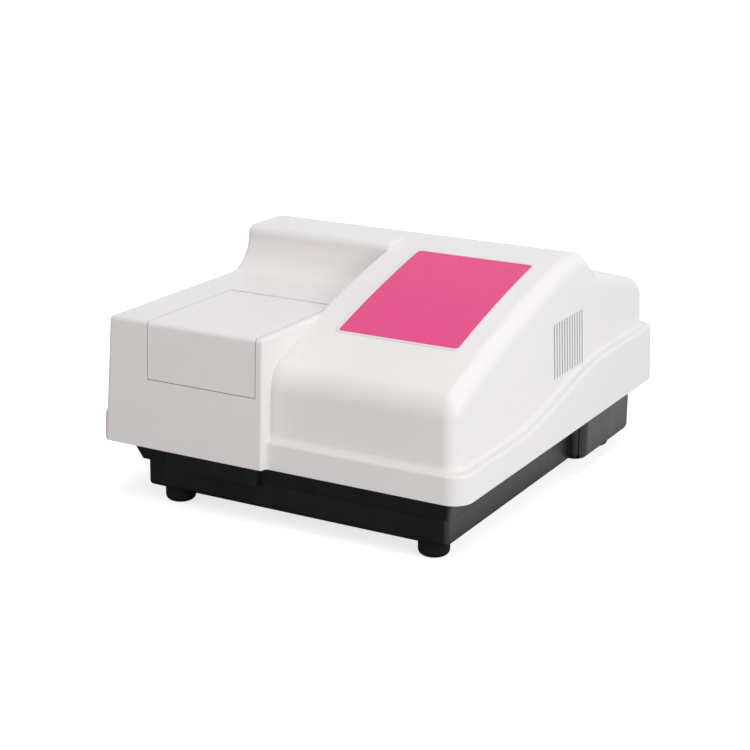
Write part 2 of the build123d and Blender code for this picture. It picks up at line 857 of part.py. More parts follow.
with BuildPart() as base_tray:
    add(front_tub.part)
    add(rear_tub.part)
    add(flare.part)
    block(
        (apron_left_x, tray_front_y - apron_depth, apron_z),
        (apron_right_x, tray_front_y + 1, cover_lift),
    )
    edge_gap = cover_wall + flange_gap
    half = cover_width / 2 - edge_gap
    corner_round = skirt_corner_round - edge_gap
    flange_front_y = front_y + front_jog + edge_gap
    add(tower((-half, flange_front_y, cover_lift), (half, rear_y - edge_gap, flange_z), corner_round))
    nose_front_y = front_y + nose_inset + edge_gap
    nose_right_x = hump_left_x - edge_gap
    add(tower((-half, nose_front_y, cover_lift), (nose_right_x, 0, flange_z), corner_round))
    inner_z = floor_z + tray_wall
    cavity_left_x = tray_left_x + tray_wall
    block(
        (cavity_left_x, tray_front_y + tray_wall, inner_z),
        (tray_right_x - tray_wall, tray_back_inner_y, flange_z), Mode.SUBTRACT,
    )
    cavity_half = rear_tray_half_width - 2 * tray_wall
    cavity_front_y = rear_tray_front_y + tray_wall
    block(
        (-cavity_half, cavity_front_y, inner_z), (cavity_half, tray_back_inner_y, flange_z),
        Mode.SUBTRACT,
    )
    for x, y in pillars:
        rod((x, y, inner_z), up, pillar_radius, flange_z - inner_z)
        grip = plate_screw_length - plate_thickness - pad_thickness
        rod((x, y, flange_z), down, screw_radius, grip + 1, Mode.SUBTRACT)
    for x, y in foot_places:
        rod((x, y, inner_z), up, foot_boss_radius, foot_boss_height)
        rod((x, y, floor_z), up, screw_radius, tray_wall + foot_boss_height, Mode.SUBTRACT)
    for x, y, belt_z in bosses:
        rod((x, y, cover_lift), up, cover_screw_radius + screw_gap, flange_thickness, Mode.SUBTRACT)
    # Air intake in the floor
    with BuildSketch(Plane.XY.offset(floor_z)):
        with Locations((0, intake_middle_y)):
            with GridLocations(intake_pitch, 0, intake_count, 1):
                SlotOverall(intake_length, intake_width, rotation=90)
    extrude(amount=tray_wall, mode=Mode.SUBTRACT)
    # Cut-outs in the rear wall for the mains inlet, the switch and the data port
    cutouts = [(inlet_x, inlet_body_width, inlet_body_height), (port_x, port_width, port_height)]
    cutouts.append((switch_x, switch_width - 2 * switch_wall + 1, switch_height - 2 * switch_wall + 1))
    for x, width, height in cutouts:
        half_width = width / 2 + cutout_gap
        half_height = height / 2 + cutout_gap
        block((x - half_width, tray_back_inner_y, connector_z - half_height),
              (x + half_width, rear_tray_back_y, connector_z + half_height), Mode.SUBTRACT)
save(base_tray, "base_tray")


# Feet, each with its screw up into the tray
def rubber_foot(place):
    with BuildPart() as foot:
        rod((*place, 0), up, foot_radius, floor_z)
        fillet(foot.edges().sort_by(Axis.Z)[0], foot_radius - foot_tip_radius)
        rod((*place, 0), up, foot_recess_radius, foot_recess_depth, Mode.SUBTRACT)
        rod((*place, 0), up, screw_radius + screw_gap, floor_z, Mode.SUBTRACT)
    return foot


save(rubber_foot(foot_front_left), "foot_front_left")
save(rubber_foot(foot_front_right), "foot_front_right")
save(rubber_foot(foot_rear_left), "foot_rear_left")
save(rubber_foot(foot_rear_right), "foot_rear_right")


def screw(seat, direction, radius, head_radius, length):
    """Pan-head screw whose head bears on the seat, the shank running along the direction."""
    with BuildPart() as piece:
        rod(seat, direction, radius, length)
        backward = tuple(-value for value in direction)
        rod(seat, backward, head_radius, screw_head_height)
        top = Plane(origin=seat, z_dir=backward).offset(screw_head_height)
        rim = piece.edges().filter_by(GeomType.CIRCLE)
        fillet(
            rim.filter_by(lambda edge: abs(top.to_local_coords(edge.center()).Z) < 0.01),
            screw_head_height / 3,
        )
        with BuildSketch(top):
            Rectangle(head_radius, radius / 3)
            Rectangle(radius / 3, head_radius)
        extrude(amount=-screw_head_height / 2, mode=Mode.SUBTRACT)
    return piece.part


with BuildPart() as foot_screws:
    for x, y in foot_places:
        add(screw((x, y, foot_recess_depth), up, screw_radius, screw_head_radius, foot_screw_length))
save(foot_screws, "foot_screws")

with BuildPart() as cover_screws:
    for x, y, belt_z in bosses:
        add(screw((x, y, cover_lift), up, cover_screw_radius, screw_head_radius, cover_screw_length))
save(cover_screws, "cover_screws")

# Optical plate on rubber pads, with posts for the circuit board
with BuildPart() as plate_pads:
    for x, y in pillars:
        rod((x, y, flange_z), up, pad_radius, pad_thickness)
        rod((x, y, flange_z), up, screw_radius + screw_gap, pad_thickness, Mode.SUBTRACT)
save(plate_pads, "plate_pads")

with BuildPart() as plate_screws:
    for x, y in pillars:
        add(screw((x, y, deck_z), down, screw_radius, screw_head_radius, plate_screw_length))
save(plate_screws, "plate_screws")

with BuildPart() as optical_plate:
    add(tower(
        (-plate_half_width, plate_front_y, plate_z), (plate_half_width, plate_back_y, deck_z),
        plate_corner_round,
    ))
    for x in (board_left_x + standoff_inset, board_right_x - standoff_inset):
        for y in (board_front_y + standoff_inset, board_back_y - standoff_inset):
            rod((x, y, deck_z), up, standoff_radius, board_lift)
    for x, y in pillars:
        rod((x, y, plate_z), up, screw_radius + screw_gap, plate_thickness, Mode.SUBTRACT)
    rod(
        (grating_x, case_middle_y, plate_z), up, turret_shaft_radius + running_gap, plate_thickness,
        Mode.SUBTRACT,
    )
save(optical_plate, "optical_plate")

# Sample well
with BuildPart() as sample_well:
    add(tower(
        (well_left_x, well_front_y, deck_z), (well_right_x, well_rear_y, well_top_z),
        well_corner_round + well_wall,
    ))
    rod(
        (well_right_x, sample_beam_y, beam_z), rightward, port_tube_radius,
        -slit_plate_thickness - well_right_x,
    )
    add(
        tower(
            (inner_left_x, inner_front_y, well_floor_z), (inner_right_x, inner_rear_y, well_top_z),
            well_corner_round,
        ),
        mode=Mode.SUBTRACT,
    )
    notch_round = well_corner_round + 1
    block(
        (inner_left_x + notch_round, well_front_y, well_front_sill_z),
        (inner_right_x - notch_round, inner_front_y, well_top_z), Mode.SUBTRACT,
    )
    rod(
        (well_left_x, sample_beam_y, beam_z), rightward, port_tube_radius - port_tube_wall,
        case_left_x - well_left_x, Mode.SUBTRACT,
    )
    rod((rail_x, inner_rear_y, rail_z), rearward, lead_screw_radius + 1, well_wall, Mode.SUBTRACT)
save(sample_well, "sample_well")

# Cell changer: two rail blocks, rails, lead screw, carriage, cuvettes and motor
rails = [(rail_x - rail_spacing / 2, rail_z), (rail_x + rail_spacing / 2, rail_z)]


def rail_block(start_y, blind):
    with BuildPart() as support:
        half = rail_block_width / 2
        block(
            (rail_x - half, start_y, well_floor_z),
            (rail_x + half, start_y + rail_block_length, well_floor_z + rail_block_height),
        )
        fillet(support.edges().filter_by(Axis.Y).group_by(Axis.Z)[-1], rail_radius)
        for x, z in rails:
            rod((x, start_y, z), rearward, rail_radius, rail_block_length, Mode.SUBTRACT)
        rod(
            (rail_x, start_y + blind, rail_z), rearward, lead_screw_radius + running_gap,
            rail_block_length, Mode.SUBTRACT,
        )
    return support


save(rail_block(inner_front_y, rail_block_length / 4), "rail_block_front")
save(rail_block(inner_rear_y - rail_block_length, 0), "rail_block_rear")

with BuildPart() as guide_rails:
    for x, z in rails:
        rod((x, inner_front_y, z), rearward, rail_radius, inner_rear_y - inner_front_y)
save(guide_rails, "guide_rails")

with BuildPart() as lead_screw:
    start_y = inner_front_y + rail_block_length / 4 + shaft_end_play
    end_y = well_rear_y + motor_bore_depth - shaft_end_play
    rod((rail_x, start_y, rail_z), rearward, lead_screw_radius, end_y - start_y)
save(lead_screw, "lead_screw")

cell_places = [rack_y + (index - (cell_count - 1) / 2) * cell_pitch for index in range(cell_count)]
with BuildPart() as cell_carriage:
    half_length = (cell_travel + cell_pocket) / 2 + rack_end_wall
    half_rack = rack_width / 2
    low_z = rail_z - carriage_height / 2
    rack_top_z = cell_bottom_z + cell_pocket_depth
    block(
        (rail_x - carriage_width / 2, rack_y - half_length, low_z),
        (rail_x + carriage_width / 2, rack_y + half_length, low_z + carriage_height),
    )
    block(
        (rail_x - half_rack, rack_y - half_length, low_z),
        (rail_x + half_rack, rack_y + half_length, rack_top_z),
    )
    fillet(cell_carriage.edges().filter_by(Axis.Y).group_by(Axis.Z)[-1], rail_radius / 2)
    for x, z in rails:
        rod(
            (x, rack_y - half_length, z), rearward, rail_radius + running_gap, 2 * half_length,
            Mode.SUBTRACT,
        )
    rod(
        (rail_x, rack_y - half_length, rail_z), rearward, lead_screw_radius + running_gap,
        2 * half_length, Mode.SUBTRACT,
    )
    for y in cell_places:
        half = cell_pocket / 2
        block(
            (rail_x - half, y - half, cell_bottom_z), (rail_x + half, y + half, rack_top_z),
            Mode.SUBTRACT,
        )
        rod((rail_x - half_rack, y, beam_z), rightward, beam_port_radius, rack_width, Mode.SUBTRACT)
save(cell_carriage, "cell_carriage")

with BuildPart() as cuvettes:
    for y in cell_places:
        half = cell_size / 2
        block(
            (rail_x - half, y - half, cell_bottom_z),
            (rail_x + half, y + half, cell_bottom_z + cell_length),
        )
        inner = half - cell_wall
        block(
            (rail_x - inner, y - inner, cell_bottom_z + cell_wall),
            (rail_x + inner, y + inner, cell_bottom_z + cell_length), Mode.SUBTRACT,
        )
save(cuvettes, "cuvettes")

with BuildPart() as cuvette_stoppers:
    rim_z = cell_bottom_z + cell_length
    for y in cell_places:
        block((rail_x - half, y - half, rim_z), (rail_x + half, y + half, rim_z + stopper_height))
        block((rail_x - inner, y - inner, rim_z - stopper_plug), (rail_x + inner, y + inner, rim_z))
    fillet(cuvette_stoppers.faces().sort_by(Axis.Z)[-len(cell_places):].edges(), stopper_height / 4)
save(cuvette_stoppers, "cuvette_stoppers")

with BuildPart() as changer_motor:
    add(motor_body(
        (rail_x, well_rear_y, rail_z), rearward, changer_motor_size, changer_motor_length,
        lead_screw_radius,
    ))
save(changer_motor, "changer_motor")

# Monochromator case, its lid and the two slit plates
case_top_z = deck_z + case_height
slit_radius = slit_opening_height / 2 + 1
with BuildPart() as monochromator_case:
    add(tower((case_left_x, case_front_y, deck_z), (case_right_x, case_back_y, case_top_z), case_wall))
    block((case_left_x + case_wall, case_front_y + case_wall, case_floor_z),
          (case_right_x - case_wall, case_back_y - case_wall, case_top_z), Mode.SUBTRACT)
    for y in (sample_beam_y, source_beam_y):
        rod((case_left_x, y, beam_z), rightward, slit_radius, case_wall, Mode.SUBTRACT)
    rod(
        (grating_x, case_middle_y, deck_z), up, turret_shaft_radius + running_gap, case_wall,
        Mode.SUBTRACT,
    )
save(monochromator_case, "monochromator_case")

with BuildPart() as monochromator_lid:
    add(tower(
        (case_left_x, case_front_y, case_top_z),
        (case_right_x, case_back_y, case_top_z + case_lid_thickness), case_wall,
    ))
    fillet(monochromator_lid.faces().sort_by(Axis.Z)[-1].edges(), case_lid_thickness / 4)
save(monochromator_lid, "monochromator_lid")


def slit_plate(y):
    with BuildPart() as plate:
        half = slit_plate_size / 2
        block(
            (case_left_x - slit_plate_thickness, y - half, beam_z - half),
            (case_left_x, y + half, beam_z + half),
        )
        fillet(plate.edges().filter_by(Axis.X), motor_corner_round)
        half_height = slit_opening_height / 2
        half_width = slit_opening_width / 2
        block(
            (case_left_x - slit_plate_thickness, y - half_width, beam_z - half_height),
            (case_left_x, y + half_width, beam_z + half_height), Mode.SUBTRACT,
        )
    return plate


save(slit_plate(source_beam_y), "entrance_slit")
save(slit_plate(sample_beam_y), "exit_slit")


# Mirrors, each turned half-way between its slit and the grating
def mirror_plane(beam_y, side):
    mirror_y = case_middle_y + side * mirror_offset_y
    to_slit = Vector(case_left_x - mirror_x, beam_y - mirror_y, 0).normalized()
    to_grating = Vector(grating_x - mirror_x, case_middle_y - mirror_y, 0).normalized()
    return Plane(origin=(mirror_x, mirror_y, beam_z), z_dir=(to_slit + to_grating).normalized())


def concave_mirror(face):
    with BuildPart(face) as mirror:
        Cylinder(mirror_radius, mirror_thickness, align=(Align.CENTER, Align.CENTER, Align.MAX))
        with Locations((0, 0, sqrt(mirror_curve_radius**2 - mirror_radius**2))):
            Sphere(mirror_curve_radius, mode=Mode.SUBTRACT)
    return mirror


def mirror_mount(face):
    """Angle bracket behind a mirror, standing on the case floor."""
    back = face.origin - face.z_dir * mirror_thickness
    foot = Plane(origin=(back.X, back.Y, case_floor_z), x_dir=face.z_dir * -1, z_dir=up)
    with BuildPart(foot) as mount:
        height = beam_z + mirror_radius - case_floor_z
        half = mount_width / 2
        block((0, -half, 0), (mount_thickness, half, height))
        block((0, -half, 0), (mount_foot, half, mount_thickness))
        fillet(
            mount.edges().filter_by(Axis.Z, reverse=False).group_by(SortBy.LENGTH)[0],
            mount_thickness / 4,
        )
    return mount


collimating_face = mirror_plane(source_beam_y, 1)
focusing_face = mirror_plane(sample_beam_y, -1)
save(concave_mirror(collimating_face), "collimating_mirror")
save(concave_mirror(focusing_face), "focusing_mirror")
save(mirror_mount(collimating_face), "collimating_mount")
save(mirror_mount(focusing_face), "focusing_mount")

# Grating on its turret, with the gear pair below the optical plate
with BuildPart() as diffraction_grating:
    half = grating_size / 2
    block(
        (grating_x - grating_thickness, case_middle_y - half, beam_z - half),
        (grating_x, case_middle_y + half, beam_z + half),
    )
save(diffraction_grating, "diffraction_grating")

with BuildPart() as grating_turret:
    table_z = case_floor_z + turret_gap
    rod((grating_x, case_middle_y, table_z), up, turret_radius, turret_thickness)
    back_x = grating_x - grating_thickness - turret_thickness
    block((back_x, case_middle_y - half, table_z), (grating_x, case_middle_y + half, beam_z - half))
    block(
        (back_x, case_middle_y - half, table_z),
        (back_x + turret_thickness, case_middle_y + half, beam_z + half),
    )
    rod(
        (grating_x, case_middle_y, table_z), down, turret_shaft_radius,
        table_z - gear_top_z + gear_thickness,
    )
save(grating_turret, "grating_turret")


def gear_outline(teeth, first_angle):
    """Spur gear outline with straight-sided teeth."""
    pitch_radius = gear_module * teeth / 2
    half_pitch_width = (pi * gear_module / 2 - tooth_backlash) / 2
    flank = tan(radians(20))
    root_radius = pitch_radius - 1.25 * gear_module
    tip_radius = pitch_radius + gear_module
    root_angle = (half_pitch_width + 1.25 * gear_module * flank) / root_radius
    tip_angle = (half_pitch_width - gear_module * flank) / tip_radius
    points = []
    for tooth in range(teeth):
        middle = radians(first_angle) + 2 * pi * tooth / teeth
        for radius, turn in (
            (root_radius, -root_angle), (tip_radius, -tip_angle), (tip_radius, tip_angle),
            (root_radius, root_angle),
        ):
            points.append((radius * cos(middle + turn), radius * sin(middle + turn)))
    with BuildSketch() as outline:
        with BuildLine():
            Polyline(*points, close=True)
        make_face()
    return outline.sketch


gear_bottom_z = gear_top_z - gear_thickness
with BuildPart() as scan_gear:
    with BuildSketch(Plane(origin=(grating_x, case_middle_y, gear_bottom_z))):
        add(gear_outline(gear_teeth, 180 / gear_teeth))
        with PolarLocations(gear_hole_circle, gear_hole_count):
            Circle(gear_hole_radius, mode=Mode.SUBTRACT)
    extrude(amount=gear_thickness)
    rod(
        (grating_x, case_middle_y, gear_bottom_z), up, gear_hub_radius,
        gear_thickness + gear_hub_length,
    )
    rod(
        (grating_x, case_middle_y, gear_bottom_z), up, turret_shaft_radius,
        gear_thickness + gear_hub_length, Mode.SUBTRACT,
    )
save(scan_gear, "scan_gear")

scan_motor_z = plate_z - scan_motor_length
with BuildPart() as scan_pinion:
    with BuildSketch(Plane(origin=(pinion_x, case_middle_y, gear_bottom_z))):
        add(gear_outline(pinion_teeth, 0))
    extrude(amount=gear_thickness)
    shaft_top_z = scan_motor_z + motor_bore_depth - shaft_end_play
    rod((pinion_x, case_middle_y, gear_bottom_z), up, motor_shaft_radius, shaft_top_z - gear_bottom_z)
save(scan_pinion, "scan_pinion")

with BuildPart() as scan_motor:
    add(motor_body(
        (pinion_x, case_middle_y, scan_motor_z), up, scan_motor_size, scan_motor_length,
        motor_shaft_radius,
    ))
save(scan_motor, "scan_motor")

# Lamp housing with socket, lamp, reflector and condenser lens
lamp_low_y = source_beam_y - lamp_house_width / 2
lamp_high_y = source_beam_y + lamp_house_width / 2
lamp_top_z = deck_z + lamp_house_height
tube_radius = lens_radius + lens_tube_wall
with BuildPart() as lamp_housing:
    add(tower(
        (lamp_house_left_x, lamp_low_y, deck_z), (lamp_house_right_x, lamp_high_y, lamp_top_z),
        2 * lamp_house_wall,
    ))
    rod((lamp_house_right_x, source_beam_y, beam_z), rightward, tube_radius, lens_tube_length)
    block((lamp_house_back_x, lamp_low_y + lamp_house_wall, deck_z + lamp_house_wall),
          (
              lamp_house_right_x - lamp_house_wall, lamp_high_y - lamp_house_wall,
              lamp_top_z - lamp_house_wall,
          ), Mode.SUBTRACT)
    tube_length = lens_tube_length + lamp_house_wall
    rod(
        (lamp_house_right_x - lamp_house_wall, source_beam_y, beam_z), rightward, lens_radius,
        tube_length, Mode.SUBTRACT,
    )
    with Locations(((lamp_house_left_x + lamp_house_right_x) / 2, source_beam_y, lamp_top_z)):
        with GridLocations(vent_hole_pitch, vent_hole_pitch, vent_hole_count, vent_hole_count):
            Cylinder(vent_hole_radius, 3 * lamp_house_wall, mode=Mode.SUBTRACT)
save(lamp_housing, "lamp_housing")

with BuildPart() as lamp_socket:
    rod((lamp_house_back_x, source_beam_y, beam_z), rightward, socket_radius, socket_length)
save(lamp_socket, "lamp_socket")

lamp_axis = Axis((reflector_x, source_beam_y, beam_z), rightward)
lamp_side = Plane(origin=(reflector_x, source_beam_y, beam_z), x_dir=rightward, z_dir=(0, -1, 0))
with BuildPart() as lamp_reflector:
    with BuildSketch(lamp_side):
        with BuildLine():
            neck = reflector_neck_radius
            middle = (reflector_depth * 0.35, reflector_radius * 0.75)
            outer = ThreePointArc((0, neck), middle, (reflector_depth, reflector_radius))
            inner_middle = (reflector_depth * 0.4, reflector_radius * 0.75 - reflector_wall)
            inner = ThreePointArc(
                (0, neck - reflector_wall), inner_middle,
                (reflector_depth, reflector_radius - reflector_wall),
            )
            Line(outer @ 1, inner @ 1)
            Polyline(
                inner @ 0, (-reflector_neck_length, neck - reflector_wall),
                (-reflector_neck_length, neck), outer @ 0,
            )
        make_face()
    revolve(axis=lamp_axis)
save(lamp_reflector, "lamp_reflector")

with BuildPart() as halogen_lamp:
    with BuildSketch(lamp_side):
        with BuildLine():
            tip = lamp_length - lamp_radius
            dome = lamp_radius * sqrt(0.5)
            cap = ThreePointArc((tip, lamp_radius), (tip + dome, dome), (lamp_length, 0))
            Polyline(
                cap @ 1, (-reflector_neck_length, 0), (-reflector_neck_length, lamp_radius), cap @ 0,
            )
        make_face()
    revolve(axis=lamp_axis)
save(halogen_lamp, "halogen_lamp")

lens_x = lamp_house_right_x + lens_tube_length / 2
with BuildPart() as condenser_lens:
    with BuildSketch(Plane(origin=(lens_x, source_beam_y, beam_z), x_dir=rightward, z_dir=(0, -1, 0))):
        with BuildLine():
            lens_curve = (lens_radius**2 + lens_dome**2) / (2 * lens_dome)
            bulge = sqrt(lens_curve**2 - (lens_radius / 2)**2) - lens_curve + lens_dome
            half_edge = lens_edge / 2
            right_face = ThreePointArc(
                (half_edge, lens_radius), (half_edge + bulge, lens_radius / 2),
                (half_edge + lens_dome, 0),
            )
            left_face = ThreePointArc(
                (-half_edge, lens_radius), (-half_edge - bulge, lens_radius / 2),
                (-half_edge - lens_dome, 0),
            )
            Line(right_face @ 0, left_face @ 0)
            Line(right_face @ 1, left_face @ 1)
        make_face()
    revolve(axis=lamp_axis)
save(condenser_lens, "condenser_lens")


# Chopper and filter wheel, each on its own motor and bracket
def ring_window(angle):
    """Window of a chopper disc, centred on the first axis of its sketch."""
    far = 2 * disc_radius
    half = radians(angle / 2)
    with BuildSketch() as window:
        Circle(chopper_window_outer)
        Circle(chopper_window_inner, mode=Mode.SUBTRACT)
        Polygon(
            (0, 0), (far * cos(half), -far * sin(half)), (far * cos(half), far * sin(half)), align=None,
            mode=Mode.INTERSECT,
        )
    return window.sketch


def disc_plane(x):
    """Plane of a disc beside the beam, its first axis pointing at the beam."""
    return Plane(origin=(x, disc_y, beam_z), x_dir=(0, -1, 0), z_dir=rightward)


def add_hub_and_shaft(left_x, right_x):
    rod((left_x, disc_y, beam_z), (-1, 0, 0), disc_hub_radius, disc_hub_length)
    shaft = disc_motor_gap + disc_bracket_thickness + motor_bore_depth - shaft_end_play
    rod((right_x, disc_y, beam_z), rightward, motor_shaft_radius, shaft)


with BuildPart() as chopper_disc:
    with BuildSketch(disc_plane(chopper_x)):
        Circle(disc_radius)
        step = 360 / chopper_window_count
        window = ring_window(step * chopper_window_share)
        for index in range(chopper_window_count):
            add(window.rotate(Axis.Z, index * step), mode=Mode.SUBTRACT)
    extrude(amount=chopper_thickness)
    add_hub_and_shaft(chopper_x, chopper_x + chopper_thickness)
save(chopper_disc, "chopper_disc")

with BuildPart() as filter_wheel:
    with BuildSketch(disc_plane(filter_x)):
        Circle(disc_radius)
        with PolarLocations(disc_offset_y, filter_count):
            Circle(filter_radius - filter_ledge, mode=Mode.SUBTRACT)
    extrude(amount=filter_disc_thickness)
    with BuildSketch(disc_plane(filter_x)):
        with PolarLocations(disc_offset_y, filter_count):
            Circle(filter_radius)
    extrude(amount=filter_thickness, mode=Mode.SUBTRACT)
    add_hub_and_shaft(filter_x, filter_x + filter_disc_thickness)
save(filter_wheel, "filter_wheel")

with BuildPart() as order_filters:
    with BuildSketch(disc_plane(filter_x)):
        with PolarLocations(disc_offset_y, filter_count):
            Circle(filter_radius)
    extrude(amount=filter_thickness)
save(order_filters, "order_filters")


def disc_bracket(disc_right_x):
    """Upright plate between a disc and its motor, with a foot under the motor."""
    left_x = disc_right_x + disc_motor_gap
    right_x = left_x + disc_bracket_thickness
    half = disc_motor_size / 2 + 1
    with BuildPart() as bracket:
        block((left_x, disc_y - half, deck_z), (right_x, disc_y + half, beam_z + half))
        fillet(bracket.edges().filter_by(Axis.X).group_by(Axis.Z)[-1], motor_corner_round)
        block(
            (left_x, disc_y - half, deck_z),
            (left_x + disc_bracket_foot, disc_y + half, deck_z + disc_bracket_thickness),
        )
        rod(
            (left_x, disc_y, beam_z), rightward, motor_shaft_radius + screw_gap, disc_bracket_thickness,
            Mode.SUBTRACT,
        )
    return bracket


def disc_motor(disc_right_x):
    face_x = disc_right_x + disc_motor_gap + disc_bracket_thickness
    with BuildPart() as motor:
        add(motor_body(
            (face_x, disc_y, beam_z), rightward, disc_motor_size, disc_motor_length, motor_shaft_radius,
        ))
    return motor


save(disc_bracket(chopper_x + chopper_thickness), "chopper_bracket")
save(disc_motor(chopper_x + chopper_thickness), "chopper_motor")
save(disc_bracket(filter_x + filter_disc_thickness), "filter_bracket")
save(disc_motor(filter_x + filter_disc_thickness), "filter_motor")

# Detector housing with its snout to the well, fins on top and the sensor inside
detector_low_y = sample_beam_y - detector_width / 2
detector_high_y = sample_beam_y + detector_width / 2
detector_top_z = deck_z + detector_height
with BuildPart() as detector_housing:
    add(tower(
        (detector_left_x, detector_low_y, deck_z), (detector_right_x, detector_high_y, detector_top_z),
        detector_wall,
    ))
    rod(
        (detector_right_x, sample_beam_y, beam_z), rightward, port_tube_radius,
        well_left_x - detector_right_x,
    )
    fin_pitch = (detector_width - detector_fin_width) / (detector_fin_count - 1)
    for index in range(detector_fin_count):
        y = detector_low_y + index * fin_pitch
        block((detector_left_x + detector_wall, y, detector_top_z),
              (
                  detector_right_x - detector_wall, y + detector_fin_width,
                  detector_top_z + detector_fin_height,
              ))
    block((detector_left_x + detector_wall, detector_low_y + detector_wall, deck_z + detector_wall),
          (
              detector_right_x - detector_wall, detector_high_y - detector_wall,
              detector_top_z - detector_wall,
          ), Mode.SUBTRACT)
    bore_length = well_left_x - detector_right_x + detector_wall
    rod(
        (detector_right_x - detector_wall, sample_beam_y, beam_z), rightward,
        port_tube_radius - port_tube_wall, bore_length, Mode.SUBTRACT,
    )
save(detector_housing, "detector_housing")

with BuildPart() as detector_sensor:
    sensor_x = detector_left_x + detector_wall
    rod((sensor_x, sample_beam_y, beam_z), rightward, detector_flange_radius, detector_flange_thickness)
    can_length = detector_flange_thickness + detector_can_length
    rod((sensor_x, sample_beam_y, beam_z), rightward, detector_can_radius, can_length)
    fillet(detector_sensor.edges().sort_by(Axis.X)[-1], 1)
    rod(
        (sensor_x + can_length, sample_beam_y, beam_z), (-1, 0, 0), detector_window_radius, 0.8,
        Mode.SUBTRACT,
    )
save(detector_sensor, "detector_sensor")

# Circuit board with its larger components
board_z = deck_z + board_lift
chips = [
    (0.18, 0.25, 22, 22, 3), (0.5, 0.3, 26, 26, 3), (0.78, 0.28, 18, 30, 4), (0.3, 0.72, 40, 14, 9),
]
chips += [(0.62, 0.7, 30, 20, 14), (0.85, 0.68, 14, 26, 11)]
capacitors = [(0.12, 0.55), (0.12, 0.68), (0.12, 0.81), (0.5, 0.52), (0.6, 0.52)]
with BuildPart() as main_board:
    width = board_right_x - board_left_x
    depth = board_back_y - board_front_y
    add(tower(
        (board_left_x, board_front_y, board_z),
        (board_right_x, board_back_y, board_z + board_thickness), motor_corner_round,
    ))
    top_z = board_z + board_thickness
    for across, along, size_x, size_y, height in chips:
        x = board_left_x + across * width
        y = board_front_y + along * depth
        block((x - size_x / 2, y - size_y / 2, top_z), (x + size_x / 2, y + size_y / 2, top_z + height))
    for across, along in capacitors:
        rod((board_left_x + across * width, board_front_y + along * depth, top_z), up, 5, 16)
save(main_board, "main_board")

# Power supply: perforated metal box on the tray floor
with BuildPart() as power_supply:
    supply_z = floor_z + tray_wall
    supply_right_x = supply_left_x + supply_width
    supply_back_y = supply_front_y + supply_length
    block(
        (supply_left_x, supply_front_y, supply_z),
        (supply_right_x, supply_back_y, supply_z + supply_height),
    )
    fillet(power_supply.edges().filter_by(Axis.Y).group_by(Axis.Z)[-1], 2 * supply_wall)
    block((supply_left_x + supply_wall, supply_front_y + supply_wall, supply_z + supply_wall),
          (
              supply_right_x - supply_wall, supply_back_y - supply_wall,
              supply_z + supply_height - supply_wall,
          ), Mode.SUBTRACT)
    with Locations((
        (supply_left_x + supply_right_x) / 2, (supply_front_y + supply_back_y) / 2,
        supply_z + supply_height,
    )):
        with GridLocations(0, supply_slot_pitch, 1, supply_slot_count):
            Box(supply_width * 0.7, supply_slot_width, 3 * supply_wall, mode=Mode.SUBTRACT)
save(power_supply, "power_supply")

# Cooling fan behind the slits
hub_depth = fan_spoke_thickness + fan_rotor_gap
with BuildPart() as fan_frame:
    with BuildSketch(Plane(origin=(fan_left_x, fan_middle_y, fan_middle_z), z_dir=rightward)) as face:
        RectangleRounded(fan_size, fan_size, motor_corner_round + 1)
        Circle(fan_bore_radius, mode=Mode.SUBTRACT)
        with GridLocations(fan_size - 10, fan_size - 10, 2, 2):
            Circle(screw_radius, mode=Mode.SUBTRACT)
    extrude(amount=fan_depth)
    with BuildSketch(Plane(origin=(fan_left_x, fan_middle_y, fan_middle_z), z_dir=rightward)):
        Circle(fan_hub_radius)
        Rectangle(2 * fan_bore_radius + 1, fan_spoke_width)
        Rectangle(fan_spoke_width, 2 * fan_bore_radius + 1)
    extrude(amount=fan_spoke_thickness)
    rod(
        (fan_left_x, fan_middle_y, fan_middle_z), rightward, screw_radius + running_gap,
        fan_spoke_thickness, Mode.SUBTRACT,
    )
save(fan_frame, "fan_frame")

with BuildPart() as fan_rotor:
    rotor_x = fan_left_x + hub_depth
    rotor_length = fan_depth - hub_depth
    blade_reach = fan_bore_radius - fan_tip_gap
    blade_chord = (rotor_length - 2 * fan_blade_thickness) / cos(radians(fan_blade_angle))
    for index in range(fan_blade_count):
        angle = 2 * pi * index / fan_blade_count
        outward = Vector(0, cos(angle), sin(angle))
        along = Vector(1, 0, 0).rotate(Axis((0, 0, 0), outward), fan_blade_angle)
        middle = Vector(
            rotor_x + rotor_length / 2, fan_middle_y, fan_middle_z,
        ) + outward * (fan_bore_radius / 2 + 2)
        with Locations(Plane(origin=middle, x_dir=outward, z_dir=along)):
            Box(fan_bore_radius, fan_blade_thickness, blade_chord)
    rod((rotor_x, fan_middle_y, fan_middle_z), rightward, blade_reach, rotor_length, Mode.INTERSECT)
    rod((rotor_x, fan_middle_y, fan_middle_z), rightward, fan_hub_radius, rotor_length)
    fillet(fan_rotor.edges().filter_by(GeomType.CIRCLE).sort_by(Axis.X)[-1], 1)
    rod((rotor_x, fan_middle_y, fan_middle_z), (-1, 0, 0), screw_radius, hub_depth - shaft_end_play)
save(fan_rotor, "fan_rotor")

with BuildPart() as fan_bracket:
    right_x = fan_left_x
    left_x = right_x - fan_bracket_thickness
    half = fan_size / 2
    block((left_x, fan_middle_y - half, deck_z), (right_x, fan_middle_y + half, fan_middle_z + half))
    fillet(fan_bracket.edges().filter_by(Axis.X).group_by(Axis.Z)[-1], motor_corner_round + 1)
    block(
        (right_x - fan_bracket_foot, fan_middle_y - half, deck_z),
        (right_x, fan_middle_y + half, deck_z + fan_bracket_thickness),
    )
    rod(
        (left_x, fan_middle_y, fan_middle_z), rightward, fan_bore_radius, fan_bracket_thickness,
        Mode.SUBTRACT,
    )
save(fan_bracket, "fan_bracket")

